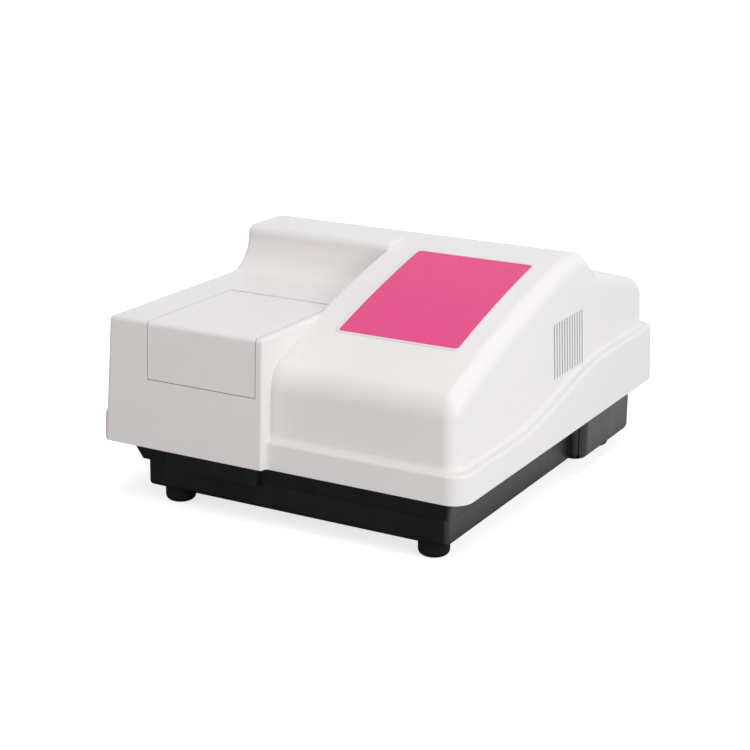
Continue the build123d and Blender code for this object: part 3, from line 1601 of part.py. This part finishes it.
# Mains inlet: flange outside, body through the wall, recess with three pins
with BuildPart() as mains_inlet:
    face_y = rear_tray_back_y + inlet_flange_thickness
    with BuildSketch(Plane(
        origin=(inlet_x, rear_tray_back_y, connector_z), x_dir=rightward, z_dir=rearward,
    )) as flange:
        Rectangle(inlet_flange_width, inlet_flange_height)
        chamfer(flange.vertices(), inlet_flange_height / 4)
    extrude(amount=inlet_flange_thickness)
    block((
        inlet_x - inlet_body_width / 2, rear_tray_back_y - inlet_body_depth,
        connector_z - inlet_body_height / 2,
    ),
          (inlet_x + inlet_body_width / 2, rear_tray_back_y, connector_z + inlet_body_height / 2))
    block((
        inlet_x - inlet_cavity_width / 2, face_y - inlet_cavity_depth,
        connector_z - inlet_cavity_height / 2,
    ),
          (
              inlet_x + inlet_cavity_width / 2, face_y, connector_z + inlet_cavity_height / 2,
          ), Mode.SUBTRACT)
    for side, rise in ((-1, -1), (0, 1), (1, -1)):
        x = inlet_x + side * inlet_pin_spacing / 2
        z = connector_z + rise * inlet_pin_height / 2
        block((x - inlet_pin_width / 2, face_y - inlet_cavity_depth, z - inlet_pin_height / 2),
              (x + inlet_pin_width / 2, face_y - inlet_flange_thickness, z + inlet_pin_height / 2))
save(mains_inlet, "mains_inlet")

# Rocker switch: frame in the wall, rocker resting in its off position
pivot_y = rear_tray_back_y + switch_bezel_thickness - rocker_pivot_depth
frame_half_width = switch_width / 2 - switch_wall + 0.5
frame_half_height = switch_height / 2 - switch_wall + 0.5
rocker_swing = sqrt(rocker_reach**2 + rocker_half_height**2) + rocker_gap
cavity_half_width = frame_half_width - switch_wall
with BuildPart() as switch_frame:
    block((switch_x - switch_width / 2, rear_tray_back_y, connector_z - switch_height / 2),
          (
              switch_x + switch_width / 2, rear_tray_back_y + switch_bezel_thickness,
              connector_z + switch_height / 2,
          ))
    fillet(switch_frame.edges().filter_by(Axis.Y), switch_bezel_thickness)
    block((
        switch_x - frame_half_width, rear_tray_back_y - switch_body_depth,
        connector_z - frame_half_height,
    ),
          (switch_x + frame_half_width, rear_tray_back_y, connector_z + frame_half_height))
    rocker_room = sqrt(rocker_back**2 + rocker_back_half_height**2) + rocker_gap
    block((switch_x - cavity_half_width, pivot_y - rocker_room, connector_z - rocker_swing),
          (
              switch_x + cavity_half_width, rear_tray_back_y + switch_bezel_thickness,
              connector_z + rocker_swing,
          ), Mode.SUBTRACT)
    pin_reach = cavity_half_width - rocker_gap + rocker_pin_reach
    rod(
        (switch_x - pin_reach - running_gap, pivot_y, connector_z), rightward,
        rocker_pin_radius + running_gap, 2 * (pin_reach + running_gap), Mode.SUBTRACT,
    )
save(switch_frame, "switch_frame")

with BuildPart() as power_rocker:
    tilted = Vector(0, 1, 0).rotate(Axis.X, rocker_tilt)
    half_width = cavity_half_width - rocker_gap
    with BuildSketch(Plane(
        origin=(switch_x - half_width, pivot_y, connector_z), x_dir=tilted, z_dir=rightward,
    )):
        with BuildLine():
            high = (rocker_reach, rocker_half_height)
            low = (rocker_reach, -rocker_half_height)
            face = ThreePointArc(low, (rocker_hollow, 0), high)
            Polyline(
                face @ 1, (-rocker_back, rocker_back_half_height),
                (-rocker_back, -rocker_back_half_height), face @ 0,
            )
        make_face()
    extrude(amount=2 * half_width)
    rod((switch_x - pin_reach, pivot_y, connector_z), rightward, rocker_pin_radius, 2 * pin_reach)
save(power_rocker, "power_rocker")

# Data port
with BuildPart() as data_port:
    half_width = port_width / 2
    half_height = port_height / 2
    face_y = rear_tray_back_y + port_flange_thickness
    block((
        port_x - half_width - port_flange, rear_tray_back_y, connector_z - half_height - port_flange,
    ),
          (port_x + half_width + port_flange, face_y, connector_z + half_height + port_flange))
    block((port_x - half_width, rear_tray_back_y - port_depth, connector_z - half_height),
          (port_x + half_width, rear_tray_back_y, connector_z + half_height))
    block((port_x - half_width + port_wall, face_y - port_depth, connector_z - half_height + port_wall),
          (
              port_x + half_width - port_wall, face_y, connector_z + half_height - port_wall,
          ), Mode.SUBTRACT)
    block((port_x - port_tongue_width / 2, face_y - port_depth, connector_z - port_tongue_height / 2),
          (port_x + port_tongue_width / 2, rear_tray_back_y, connector_z + port_tongue_height / 2))
save(data_port, "data_port")
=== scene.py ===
import bpy
import json
import math
from mathutils import Matrix, Vector


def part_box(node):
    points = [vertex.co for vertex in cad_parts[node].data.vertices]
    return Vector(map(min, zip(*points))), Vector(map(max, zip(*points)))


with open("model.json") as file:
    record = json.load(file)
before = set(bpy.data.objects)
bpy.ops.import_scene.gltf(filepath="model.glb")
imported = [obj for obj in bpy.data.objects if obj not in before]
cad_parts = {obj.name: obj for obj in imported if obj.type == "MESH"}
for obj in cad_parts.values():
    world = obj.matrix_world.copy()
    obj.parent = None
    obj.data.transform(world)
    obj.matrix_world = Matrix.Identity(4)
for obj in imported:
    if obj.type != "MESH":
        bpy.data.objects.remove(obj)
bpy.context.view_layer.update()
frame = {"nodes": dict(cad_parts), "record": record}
nodes = frame["nodes"]


# Helpers for material nodes
def new_material(name):
    material = bpy.data.materials.new(name)
    material.use_nodes = True
    tree = material.node_tree
    tree.nodes.clear()
    return material, tree


def node(tree, kind, **settings):
    made = tree.nodes.new(kind)
    for key, value in settings.items():
        if hasattr(made, key):
            setattr(made, key, value)
        else:
            made.inputs[key.replace("_", " ")].default_value = value
    return made


def shader(tree, rough, metallic=0.0, ior=1.45, coat=0.0, coat_rough=0.1, sheen=0.5):
    made = node(tree, "ShaderNodeBsdfPrincipled")
    made.inputs["Specular IOR Level"].default_value = sheen
    made.inputs["Roughness"].default_value = rough
    made.inputs["Metallic"].default_value = metallic
    made.inputs["IOR"].default_value = ior
    made.inputs["Coat Weight"].default_value = coat
    made.inputs["Coat Roughness"].default_value = coat_rough
    out = node(tree, "ShaderNodeOutputMaterial")
    tree.links.new(made.outputs["BSDF"], out.inputs["Surface"])
    return made


def place(tree, stretch=(1, 1, 1)):
    """Object coordinates in metres, stretched along the axes."""
    coords = node(tree, "ShaderNodeTexCoord")
    mapping = node(tree, "ShaderNodeMapping")
    mapping.inputs["Scale"].default_value = stretch
    tree.links.new(coords.outputs["Object"], mapping.inputs["Vector"])
    return mapping.outputs["Vector"]


def noise(tree, vector, scale, detail=3.0, rough=0.55):
    """Cloudy texture value around 0.5."""
    made = node(tree, "ShaderNodeTexNoise")
    made.inputs["Scale"].default_value = scale
    made.inputs["Detail"].default_value = detail
    made.inputs["Roughness"].default_value = rough
    tree.links.new(vector, made.inputs["Vector"])
    return made.outputs["Fac"]


def spread(tree, value, low, high, near=0.3, far=0.7):
    """Maps a texture value to a range."""
    made = node(tree, "ShaderNodeMapRange")
    made.inputs["From Min"].default_value = near
    made.inputs["From Max"].default_value = far
    made.inputs["To Min"].default_value = low
    made.inputs["To Max"].default_value = high
    tree.links.new(value, made.inputs["Value"])
    return made.outputs["Result"]


def blend(tree, factor, first, second):
    """Mix of two colours, each given as a tuple or as an output."""
    made = node(tree, "ShaderNodeMix")
    made.data_type = "RGBA"
    tree.links.new(factor, made.inputs["Factor"])
    for index, colour in ((6, first), (7, second)):
        if isinstance(colour, tuple):
            made.inputs[index].default_value = (*colour, 1)
        else:
            tree.links.new(colour, made.inputs[index])
    return made.outputs[2]


def combine(tree, first, second, operation="MULTIPLY"):
    """One number from two, by default their product."""
    made = node(tree, "ShaderNodeMath", operation=operation)
    tree.links.new(first, made.inputs[0])
    tree.links.new(second, made.inputs[1])
    return made.outputs["Value"]


def bump(tree, height, depth, normal=None):
    """Surface normal raised by a texture value, depth in metres."""
    made = node(tree, "ShaderNodeBump")
    made.inputs["Strength"].default_value = 1.0
    made.inputs["Distance"].default_value = depth
    tree.links.new(height, made.inputs["Height"])
    if normal is not None:
        tree.links.new(normal, made.inputs["Normal"])
    return made.outputs["Normal"]


def soft_edges(tree, radius):
    """Rounds the sharp edges of a moulding in its shading."""
    made = node(tree, "ShaderNodeBevel", samples=4)
    made.inputs["Radius"].default_value = radius
    return made.outputs["Normal"]


def shades(colour, change):
    """The colour made lighter or darker by a share of itself."""
    return tuple(min(1.0, part * (1 + change)) for part in colour)


def plastic(name, colour, rough, grain, depth, vary=0.04, edge=0.0006, coat=0.0, sheen=0.5):
    """Moulded plastic: slight cloudiness, fine grain and uneven gloss."""
    material, tree = new_material(name)
    base = shader(tree, rough, coat=coat, sheen=sheen)
    vector = place(tree)
    cloud = noise(tree, vector, 9.0, 4.0)
    fine = noise(tree, vector, grain, 2.0)
    scuff = noise(tree, place(tree, (1, 1, 0.3)), 55.0, 6.0, 0.7)
    colour_out = blend(tree, spread(tree, cloud, 0, 1), shades(colour, -vary), shades(colour, vary))
    tree.links.new(colour_out, base.inputs["Base Color"])
    tree.links.new(spread(tree, scuff, rough - 0.05, rough + 0.07), base.inputs["Roughness"])
    rounded = soft_edges(tree, edge) if edge else None
    tree.links.new(bump(tree, fine, depth, rounded), base.inputs["Normal"])
    return material


def metal(name, colour, rough, stretch=(1, 1, 1), grain=900.0, depth=0.00002, vary=0.08, metallic=1.0):
    """Machined or ground metal with marks drawn out along one axis."""
    material, tree = new_material(name)
    base = shader(tree, rough, metallic=metallic)
    marks = noise(tree, place(tree, stretch), grain, 3.0, 0.6)
    cloud = noise(tree, place(tree), 22.0, 4.0)
    colour_out = blend(tree, spread(tree, cloud, 0, 1), shades(colour, -vary), shades(colour, vary))
    tree.links.new(colour_out, base.inputs["Base Color"])
    tree.links.new(spread(tree, marks, rough - 0.06, rough + 0.1), base.inputs["Roughness"])
    tree.links.new(bump(tree, marks, depth, soft_edges(tree, 0.0003)), base.inputs["Normal"])
    return material


def rubber(name, colour, rough=0.75, cells=None):
    """Dull rubber, or foam where the size of its cells is given."""
    material, tree = new_material(name)
    base = shader(tree, rough, sheen=0.25)
    vector = place(tree)
    fine = noise(tree, vector, 1400.0, 2.0)
    cloud = noise(tree, vector, 60.0, 3.0)
    if cells:
        pores = node(tree, "ShaderNodeTexVoronoi")
        pores.inputs["Scale"].default_value = cells
        tree.links.new(vector, pores.inputs["Vector"])
        fine = pores.outputs["Distance"]
    colour_out = blend(tree, spread(tree, cloud, 0, 1), shades(colour, -0.25), shades(colour, 0.35))
    tree.links.new(colour_out, base.inputs["Base Color"])
    tree.links.new(spread(tree, cloud, rough - 0.08, rough + 0.1), base.inputs["Roughness"])
    tree.links.new(bump(tree, fine, 0.00012, soft_edges(tree, 0.0006)), base.inputs["Normal"])
    return material


def glass(name, colour, rough=0.02, streaks=0.0):
    """Clear or tinted glass with slight haze."""
    material, tree = new_material(name)
    base = shader(tree, rough, ior=1.46)
    base.inputs["Transmission Weight"].default_value = 1.0
    cloud = noise(tree, place(tree), 70.0, 3.0)
    colour_out = blend(tree, spread(tree, cloud, 0, 1), shades(colour, -0.03 - streaks), colour)
    tree.links.new(colour_out, base.inputs["Base Color"])
    tree.links.new(spread(tree, cloud, rough, rough + 0.04), base.inputs["Roughness"])
    return material


def mirror(name, colour, rough, lines=0.0):
    """Coated glass; ruled lines give the real grating its sheen, which here is painted into its colour as
    rainbow bands along the raised lines, a painted reflection.
    """
    material, tree = new_material(name)
    base = shader(tree, rough, metallic=1.0)
    dust = noise(tree, place(tree), 260.0, 6.0, 0.7)
    tint = blend(tree, spread(tree, dust, 0, 1, 0.35, 0.75), colour, shades(colour, -0.12))
    if lines:
        wave = node(tree, "ShaderNodeTexWave", wave_type="BANDS", bands_direction="Y")
        wave.inputs["Scale"].default_value = lines
        wave.inputs["Distortion"].default_value = 0.0
        tree.links.new(place(tree), wave.inputs["Vector"])
        # Painted reflection: the grating's diffraction colours, painted into its colour in bands along the
        # ruled lines
        diffraction_hue = noise(tree, place(tree, (0, 1, 0)), 45.0, 1.0)
        painted_diffraction_colours = node(tree, "ShaderNodeValToRGB")
        ramp = painted_diffraction_colours.color_ramp
        ramp.elements[0].color = (0.45, 0.25, 0.75, 1)
        ramp.elements[1].color = (0.8, 0.35, 0.2, 1)
        ramp.elements.new(0.45).color = (0.25, 0.6, 0.4, 1)
        tree.links.new(diffraction_hue, painted_diffraction_colours.inputs["Fac"])
        share = spread(tree, wave.outputs["Fac"], 0.1, 0.5, 0, 1)
        tint = blend(tree, share, tint, painted_diffraction_colours.outputs["Color"])
        tree.links.new(bump(tree, wave.outputs["Fac"], 0.00002), base.inputs["Normal"])
    tree.links.new(tint, base.inputs["Base Color"])
    tree.links.new(spread(tree, dust, rough, rough + 0.08), base.inputs["Roughness"])
    return material


def circuit_board(name):
    """Green lacquer with tracks and pads; parts that stand up from it are black to dark grey, tinned ones
    too.
    """
    material, tree = new_material(name)
    base = shader(tree, 0.4, coat=0.3)
    vector = place(tree)
    grid = node(tree, "ShaderNodeTexBrick")
    grid.inputs["Scale"].default_value = 55.0
    grid.inputs["Mortar Size"].default_value = 0.07
    grid.inputs["Color1"].default_value = (0.015, 0.11, 0.04, 1)
    grid.inputs["Color2"].default_value = (0.02, 0.14, 0.05, 1)
    grid.inputs["Mortar"].default_value = (0.05, 0.3, 0.1, 1)
    tree.links.new(vector, grid.inputs["Vector"])
    split = node(tree, "ShaderNodeSeparateXYZ")
    tree.links.new(node(tree, "ShaderNodeTexCoord").outputs["Object"], split.inputs["Vector"])
    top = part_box("main_board")[0][2] + 0.0018
    height = spread(tree, split.outputs["Z"], 0, 1, top, top + 0.0003)
    shade = noise(tree, vector, 40.0, 2.0)
    share = spread(tree, shade, 0, 1, 0.45, 0.55)
    parts = blend(tree, share, (0.012, 0.012, 0.014), (0.05, 0.05, 0.055))
    tree.links.new(blend(tree, height, grid.outputs["Color"], parts), base.inputs["Base Color"])
    tree.links.new(bump(tree, grid.outputs["Fac"], 0.00008), base.inputs["Normal"])
    return material


def motor_shell(name):
    """Dark metal all over, end bells and laminated stack alike, with fine diagonal ridges raised in its
    shading.
    """
    material, tree = new_material(name)
    base = shader(tree, 0.42, metallic=0.6)
    wave = node(tree, "ShaderNodeTexWave", wave_type="BANDS", bands_direction="DIAGONAL")
    wave.inputs["Scale"].default_value = 900.0
    tree.links.new(place(tree), wave.inputs["Vector"])
    cloud = noise(tree, place(tree), 120.0, 4.0)
    tint = blend(tree, spread(tree, cloud, 0, 1), (0.03, 0.03, 0.032), (0.07, 0.07, 0.075))
    tree.links.new(tint, base.inputs["Base Color"])
    tree.links.new(spread(tree, cloud, 0.35, 0.5), base.inputs["Roughness"])
    raised = bump(tree, wave.outputs["Fac"], 0.00005, soft_edges(tree, 0.0004))
    tree.links.new(raised, base.inputs["Normal"])
    return material


def bare_pins(material, low, high):
    """Tinned metal on what stands inside a box, such as the pins in a connector's cavity."""
    tree = material.node_tree
    base = next(item for item in tree.nodes if item.type == "BSDF_PRINCIPLED")
    apart = node(tree, "ShaderNodeSeparateXYZ")
    tree.links.new(place(tree), apart.inputs["Vector"])
    inside = None
    for axis, near, far in zip("XYZ", low, high):
        for start, end in ((near, near + 0.0001), (far, far - 0.0001)):
            side = spread(tree, apart.outputs[axis], 0, 1, start, end)
            inside = side if inside is None else combine(tree, inside, side)
    plain = base.inputs["Base Color"].links[0].from_socket
    tree.links.new(blend(tree, inside, plain, (0.62, 0.6, 0.56)), base.inputs["Base Color"])
    tree.links.new(inside, base.inputs["Metallic"])
    return material


finishes = {
    "cover_plastic": plastic(
        "cover_plastic", (0.80, 0.785, 0.775), 0.36, 1500.0, 0.000012, vary=0.012, edge=0.0009, sheen=0.25),
    "panel_pink": plastic(
        "panel_pink", (0.745, 0.066, 0.238), 0.40, 2200.0, 0.000004, vary=0.03, edge=0, sheen=0.2),
    "base_plastic": plastic(
        "base_plastic", (0.0055, 0.0055, 0.006), 0.34, 1900.0, 0.00003, vary=0.25, edge=0.0012),
    "foot_rubber": rubber("foot_rubber", (0.0045, 0.0045, 0.005)),
    "seal_foam": rubber("seal_foam", (0.018, 0.018, 0.02), 0.9, cells=700.0),
    "screw_steel": metal("screw_steel", (0.55, 0.55, 0.57), 0.32),
    "plate_aluminium": metal("plate_aluminium", (0.72, 0.73, 0.75), 0.38, (1, 0.03, 1)),
    "black_anodised": metal(
        "black_anodised", (0.022, 0.022, 0.025), 0.5, (1, 1, 0.2), 1100.0, metallic=0.5, vary=0.2),
    "rail_steel": metal("rail_steel", (0.62, 0.62, 0.64), 0.22, (1, 30, 1), 300.0),
    "case_paint": plastic("case_paint", (0.02, 0.02, 0.022), 0.5, 800.0, 0.00008, vary=0.2),
    "cuvette_glass": glass("cuvette_glass", (0.93, 0.97, 0.98)),
    "stopper_plastic": plastic("stopper_plastic", (0.78, 0.78, 0.76), 0.5, 900.0, 0.00002, edge=0.0003),
    "mirror_coat": mirror("mirror_coat", (0.88, 0.89, 0.9), 0.03),
    "grating_coat": mirror("grating_coat", (0.75, 0.75, 0.78), 0.12, lines=4000.0),
    "gear_brass": metal("gear_brass", (0.72, 0.5, 0.2), 0.3, (1, 1, 0.1)),
    "motor_steel": motor_shell("motor_steel"),
    "lamp_sheet": metal("lamp_sheet", (0.42, 0.43, 0.45), 0.4, (0.05, 1, 1), metallic=0.8),
    "lamp_glass": glass("lamp_glass", (0.96, 0.97, 0.97), 0.01),
    "socket_ceramic": plastic("socket_ceramic", (0.7, 0.64, 0.52), 0.55, 1200.0, 0.00004, vary=0.06),
    "filter_glass": glass("filter_glass", (0.5, 0.06, 0.03), 0.03, streaks=0.05),
    "sensor_can": metal("sensor_can", (0.7, 0.66, 0.55), 0.2),
    "board_green": circuit_board("board_green"),
    "supply_steel": metal("supply_steel", (0.55, 0.56, 0.58), 0.35, (1, 0.1, 1), 500.0),
    "fan_plastic": plastic("fan_plastic", (0.016, 0.016, 0.018), 0.4, 1500.0, 0.00002, vary=0.2),
    "inlet_plastic": bare_pins(
        plastic("inlet_plastic", (0.015, 0.015, 0.016), 0.45, 1500.0, 0.00003, vary=0.2),
        (-0.1318, 0.1828, 0.0342), (-0.1082, 0.1985, 0.0498)),
    "port_metal": metal("port_metal", (0.62, 0.62, 0.64), 0.3, depth=0.000004, vary=0.03),
}
slot_of = {entry["node"]: entry["material_slot"] for entry in frame["record"]["subparts"]}
for name, piece in nodes.items():
    finish = finishes[slot_of[name]]
    if not piece.material_slots:
        piece.data.materials.append(finish)
    for slot in piece.material_slots:
        slot.material = finish

# Floor and backdrop: white to the camera beside a faint shadow, and to glass and gloss
floor_mesh = bpy.data.meshes.new("floor")
floor_reach = 6
floor_corners = [(x * floor_reach, y * floor_reach, 0) for x, y in ((-1, -1), (1, -1), (1, 1), (-1, 1))]
floor_mesh.from_pydata(floor_corners, [], [(0, 1, 2, 3)])
floor = bpy.data.objects.new("floor", floor_mesh)
bpy.context.scene.collection.objects.link(floor)
floor_look, tree = new_material("floor_look")
rays = node(tree, "ShaderNodeLightPath")
spot = place(tree)
apart = node(tree, "ShaderNodeSeparateXYZ")
tree.links.new(spot, apart.inputs["Vector"])
away = node(tree, "ShaderNodeVectorMath", operation="LENGTH")
tree.links.new(spot, away.inputs[0])
near_share, shadow_near, shadow_far = 0.74, 0.4, 0.9
whiteness = spread(tree, away.outputs["Value"], near_share, 1, shadow_near, shadow_far)
shown = combine(tree, rays.outputs["Is Camera Ray"], whiteness)
glint_share, glint_start_x, glint_end_x = 0.9, 0.2, 0.26
beside = spread(tree, apart.outputs["X"], 0, glint_share, glint_start_x, glint_end_x)
glint = combine(tree, rays.outputs["Is Glossy Ray"], beside)
shown = combine(tree, shown, glint, "ADD")
shown = combine(tree, shown, rays.outputs["Is Transmission Ray"], "ADD")
lit = node(tree, "ShaderNodeBsdfDiffuse")
bounce = blend(tree, rays.outputs["Is Glossy Ray"], (0.6, 0.6, 0.6), (0.12, 0.12, 0.12))
tree.links.new(bounce, lit.inputs["Color"])
glow = node(tree, "ShaderNodeEmission")
glow.inputs["Color"].default_value = (1, 1, 1, 1)
tree.links.new(shown, glow.inputs["Strength"])
both = node(tree, "ShaderNodeAddShader")
tree.links.new(lit.outputs["BSDF"], both.inputs[0])
tree.links.new(glow.outputs["Emission"], both.inputs[1])
out = node(tree, "ShaderNodeOutputMaterial")
tree.links.new(both.outputs["Shader"], out.inputs["Surface"])
floor_mesh.materials.append(floor_look)

# Room: a dim pale light, and white where the camera, glass or gloss looks at it
room_light = 0.30
world = bpy.data.worlds.new("studio")
bpy.context.scene.world = world
world.use_nodes = True
tree = world.node_tree
tree.nodes.clear()
room = node(tree, "ShaderNodeBackground")
room.inputs["Color"].default_value = (0.95, 0.97, 1.0, 1)
room.inputs["Strength"].default_value = room_light
white = node(tree, "ShaderNodeBackground")
white.inputs["Color"].default_value = (1, 1, 1, 1)
white.inputs["Strength"].default_value = 1.0
rays = node(tree, "ShaderNodeLightPath")
shown = combine(tree, rays.outputs["Is Camera Ray"], rays.outputs["Is Glossy Ray"], "MAXIMUM")
shown = combine(tree, shown, rays.outputs["Is Transmission Ray"], "MAXIMUM")
mixed = node(tree, "ShaderNodeMixShader")
tree.links.new(shown, mixed.inputs["Fac"])
tree.links.new(room.outputs["Background"], mixed.inputs[1])
tree.links.new(white.outputs["Background"], mixed.inputs[2])
out = node(tree, "ShaderNodeOutputWorld")
tree.links.new(mixed.outputs["Shader"], out.inputs["Surface"])


# Lamps
def softbox(name, place_at, size, power, tint=(1, 1, 1)):
    """Rectangular lamp aimed at the middle of the object."""
    lamp = bpy.data.lights.new(name, "AREA")
    lamp.shape = "RECTANGLE"
    lamp.size, lamp.size_y = size
    lamp.energy = power
    lamp.color = tint
    lamp_object = bpy.data.objects.new(name, lamp)
    lamp_object.location = place_at
    lamp_object.rotation_euler = (lamp_aim - Vector(place_at)).to_track_quat("-Z", "Y").to_euler()
    bpy.context.scene.collection.objects.link(lamp_object)
    return lamp_object


lamp_aim = Vector((0, 0, 0.12))
softbox("key_right", (2.35, -0.75, 1.0), (1.8, 1.4), 38)
softbox("top", (0.1, 0.2, 2.4), (2.2, 2.2), 28.5)
softbox("fill_front", (-0.8, -2.6, 0.9), (2.0, 1.2), 16, (1, 0.84, 0.84))
back_fill = softbox("fill_back", (-1.3, 2.4, 0.6), (1.8, 1.2), 9)
back_fill.visible_glossy = False

# Camera at the photograph's angle
azimuth, elevation, roll = math.radians(28.747), math.radians(16.863), math.radians(0.653)
target = Vector((-0.023985, 0, 0.095706))
distance = 2.0991
focal_length_pixels = 1809.8
picture_width_pixels = 750
sensor_width = 36
outward = Vector((math.sin(azimuth), -math.cos(azimuth), 0))
back = outward * math.cos(elevation) + Vector((0, 0, math.sin(elevation)))
level = Vector((math.cos(azimuth), math.sin(azimuth), 0))
upright = back.cross(level)
right = level * math.cos(roll) + upright * math.sin(roll)
above = upright * math.cos(roll) - level * math.sin(roll)
view = bpy.data.cameras.new("view")
view.sensor_width = sensor_width
view.lens = sensor_width * focal_length_pixels / picture_width_pixels
view.clip_end = 50
camera = bpy.data.objects.new("view", view)
turn = Matrix((right, above, back)).transposed().to_4x4()
camera.matrix_world = Matrix.Translation(target + back * distance) @ turn
bpy.context.scene.collection.objects.link(camera)
bpy.context.scene.camera = camera
bpy.context.scene.view_settings.view_transform = "Standard"
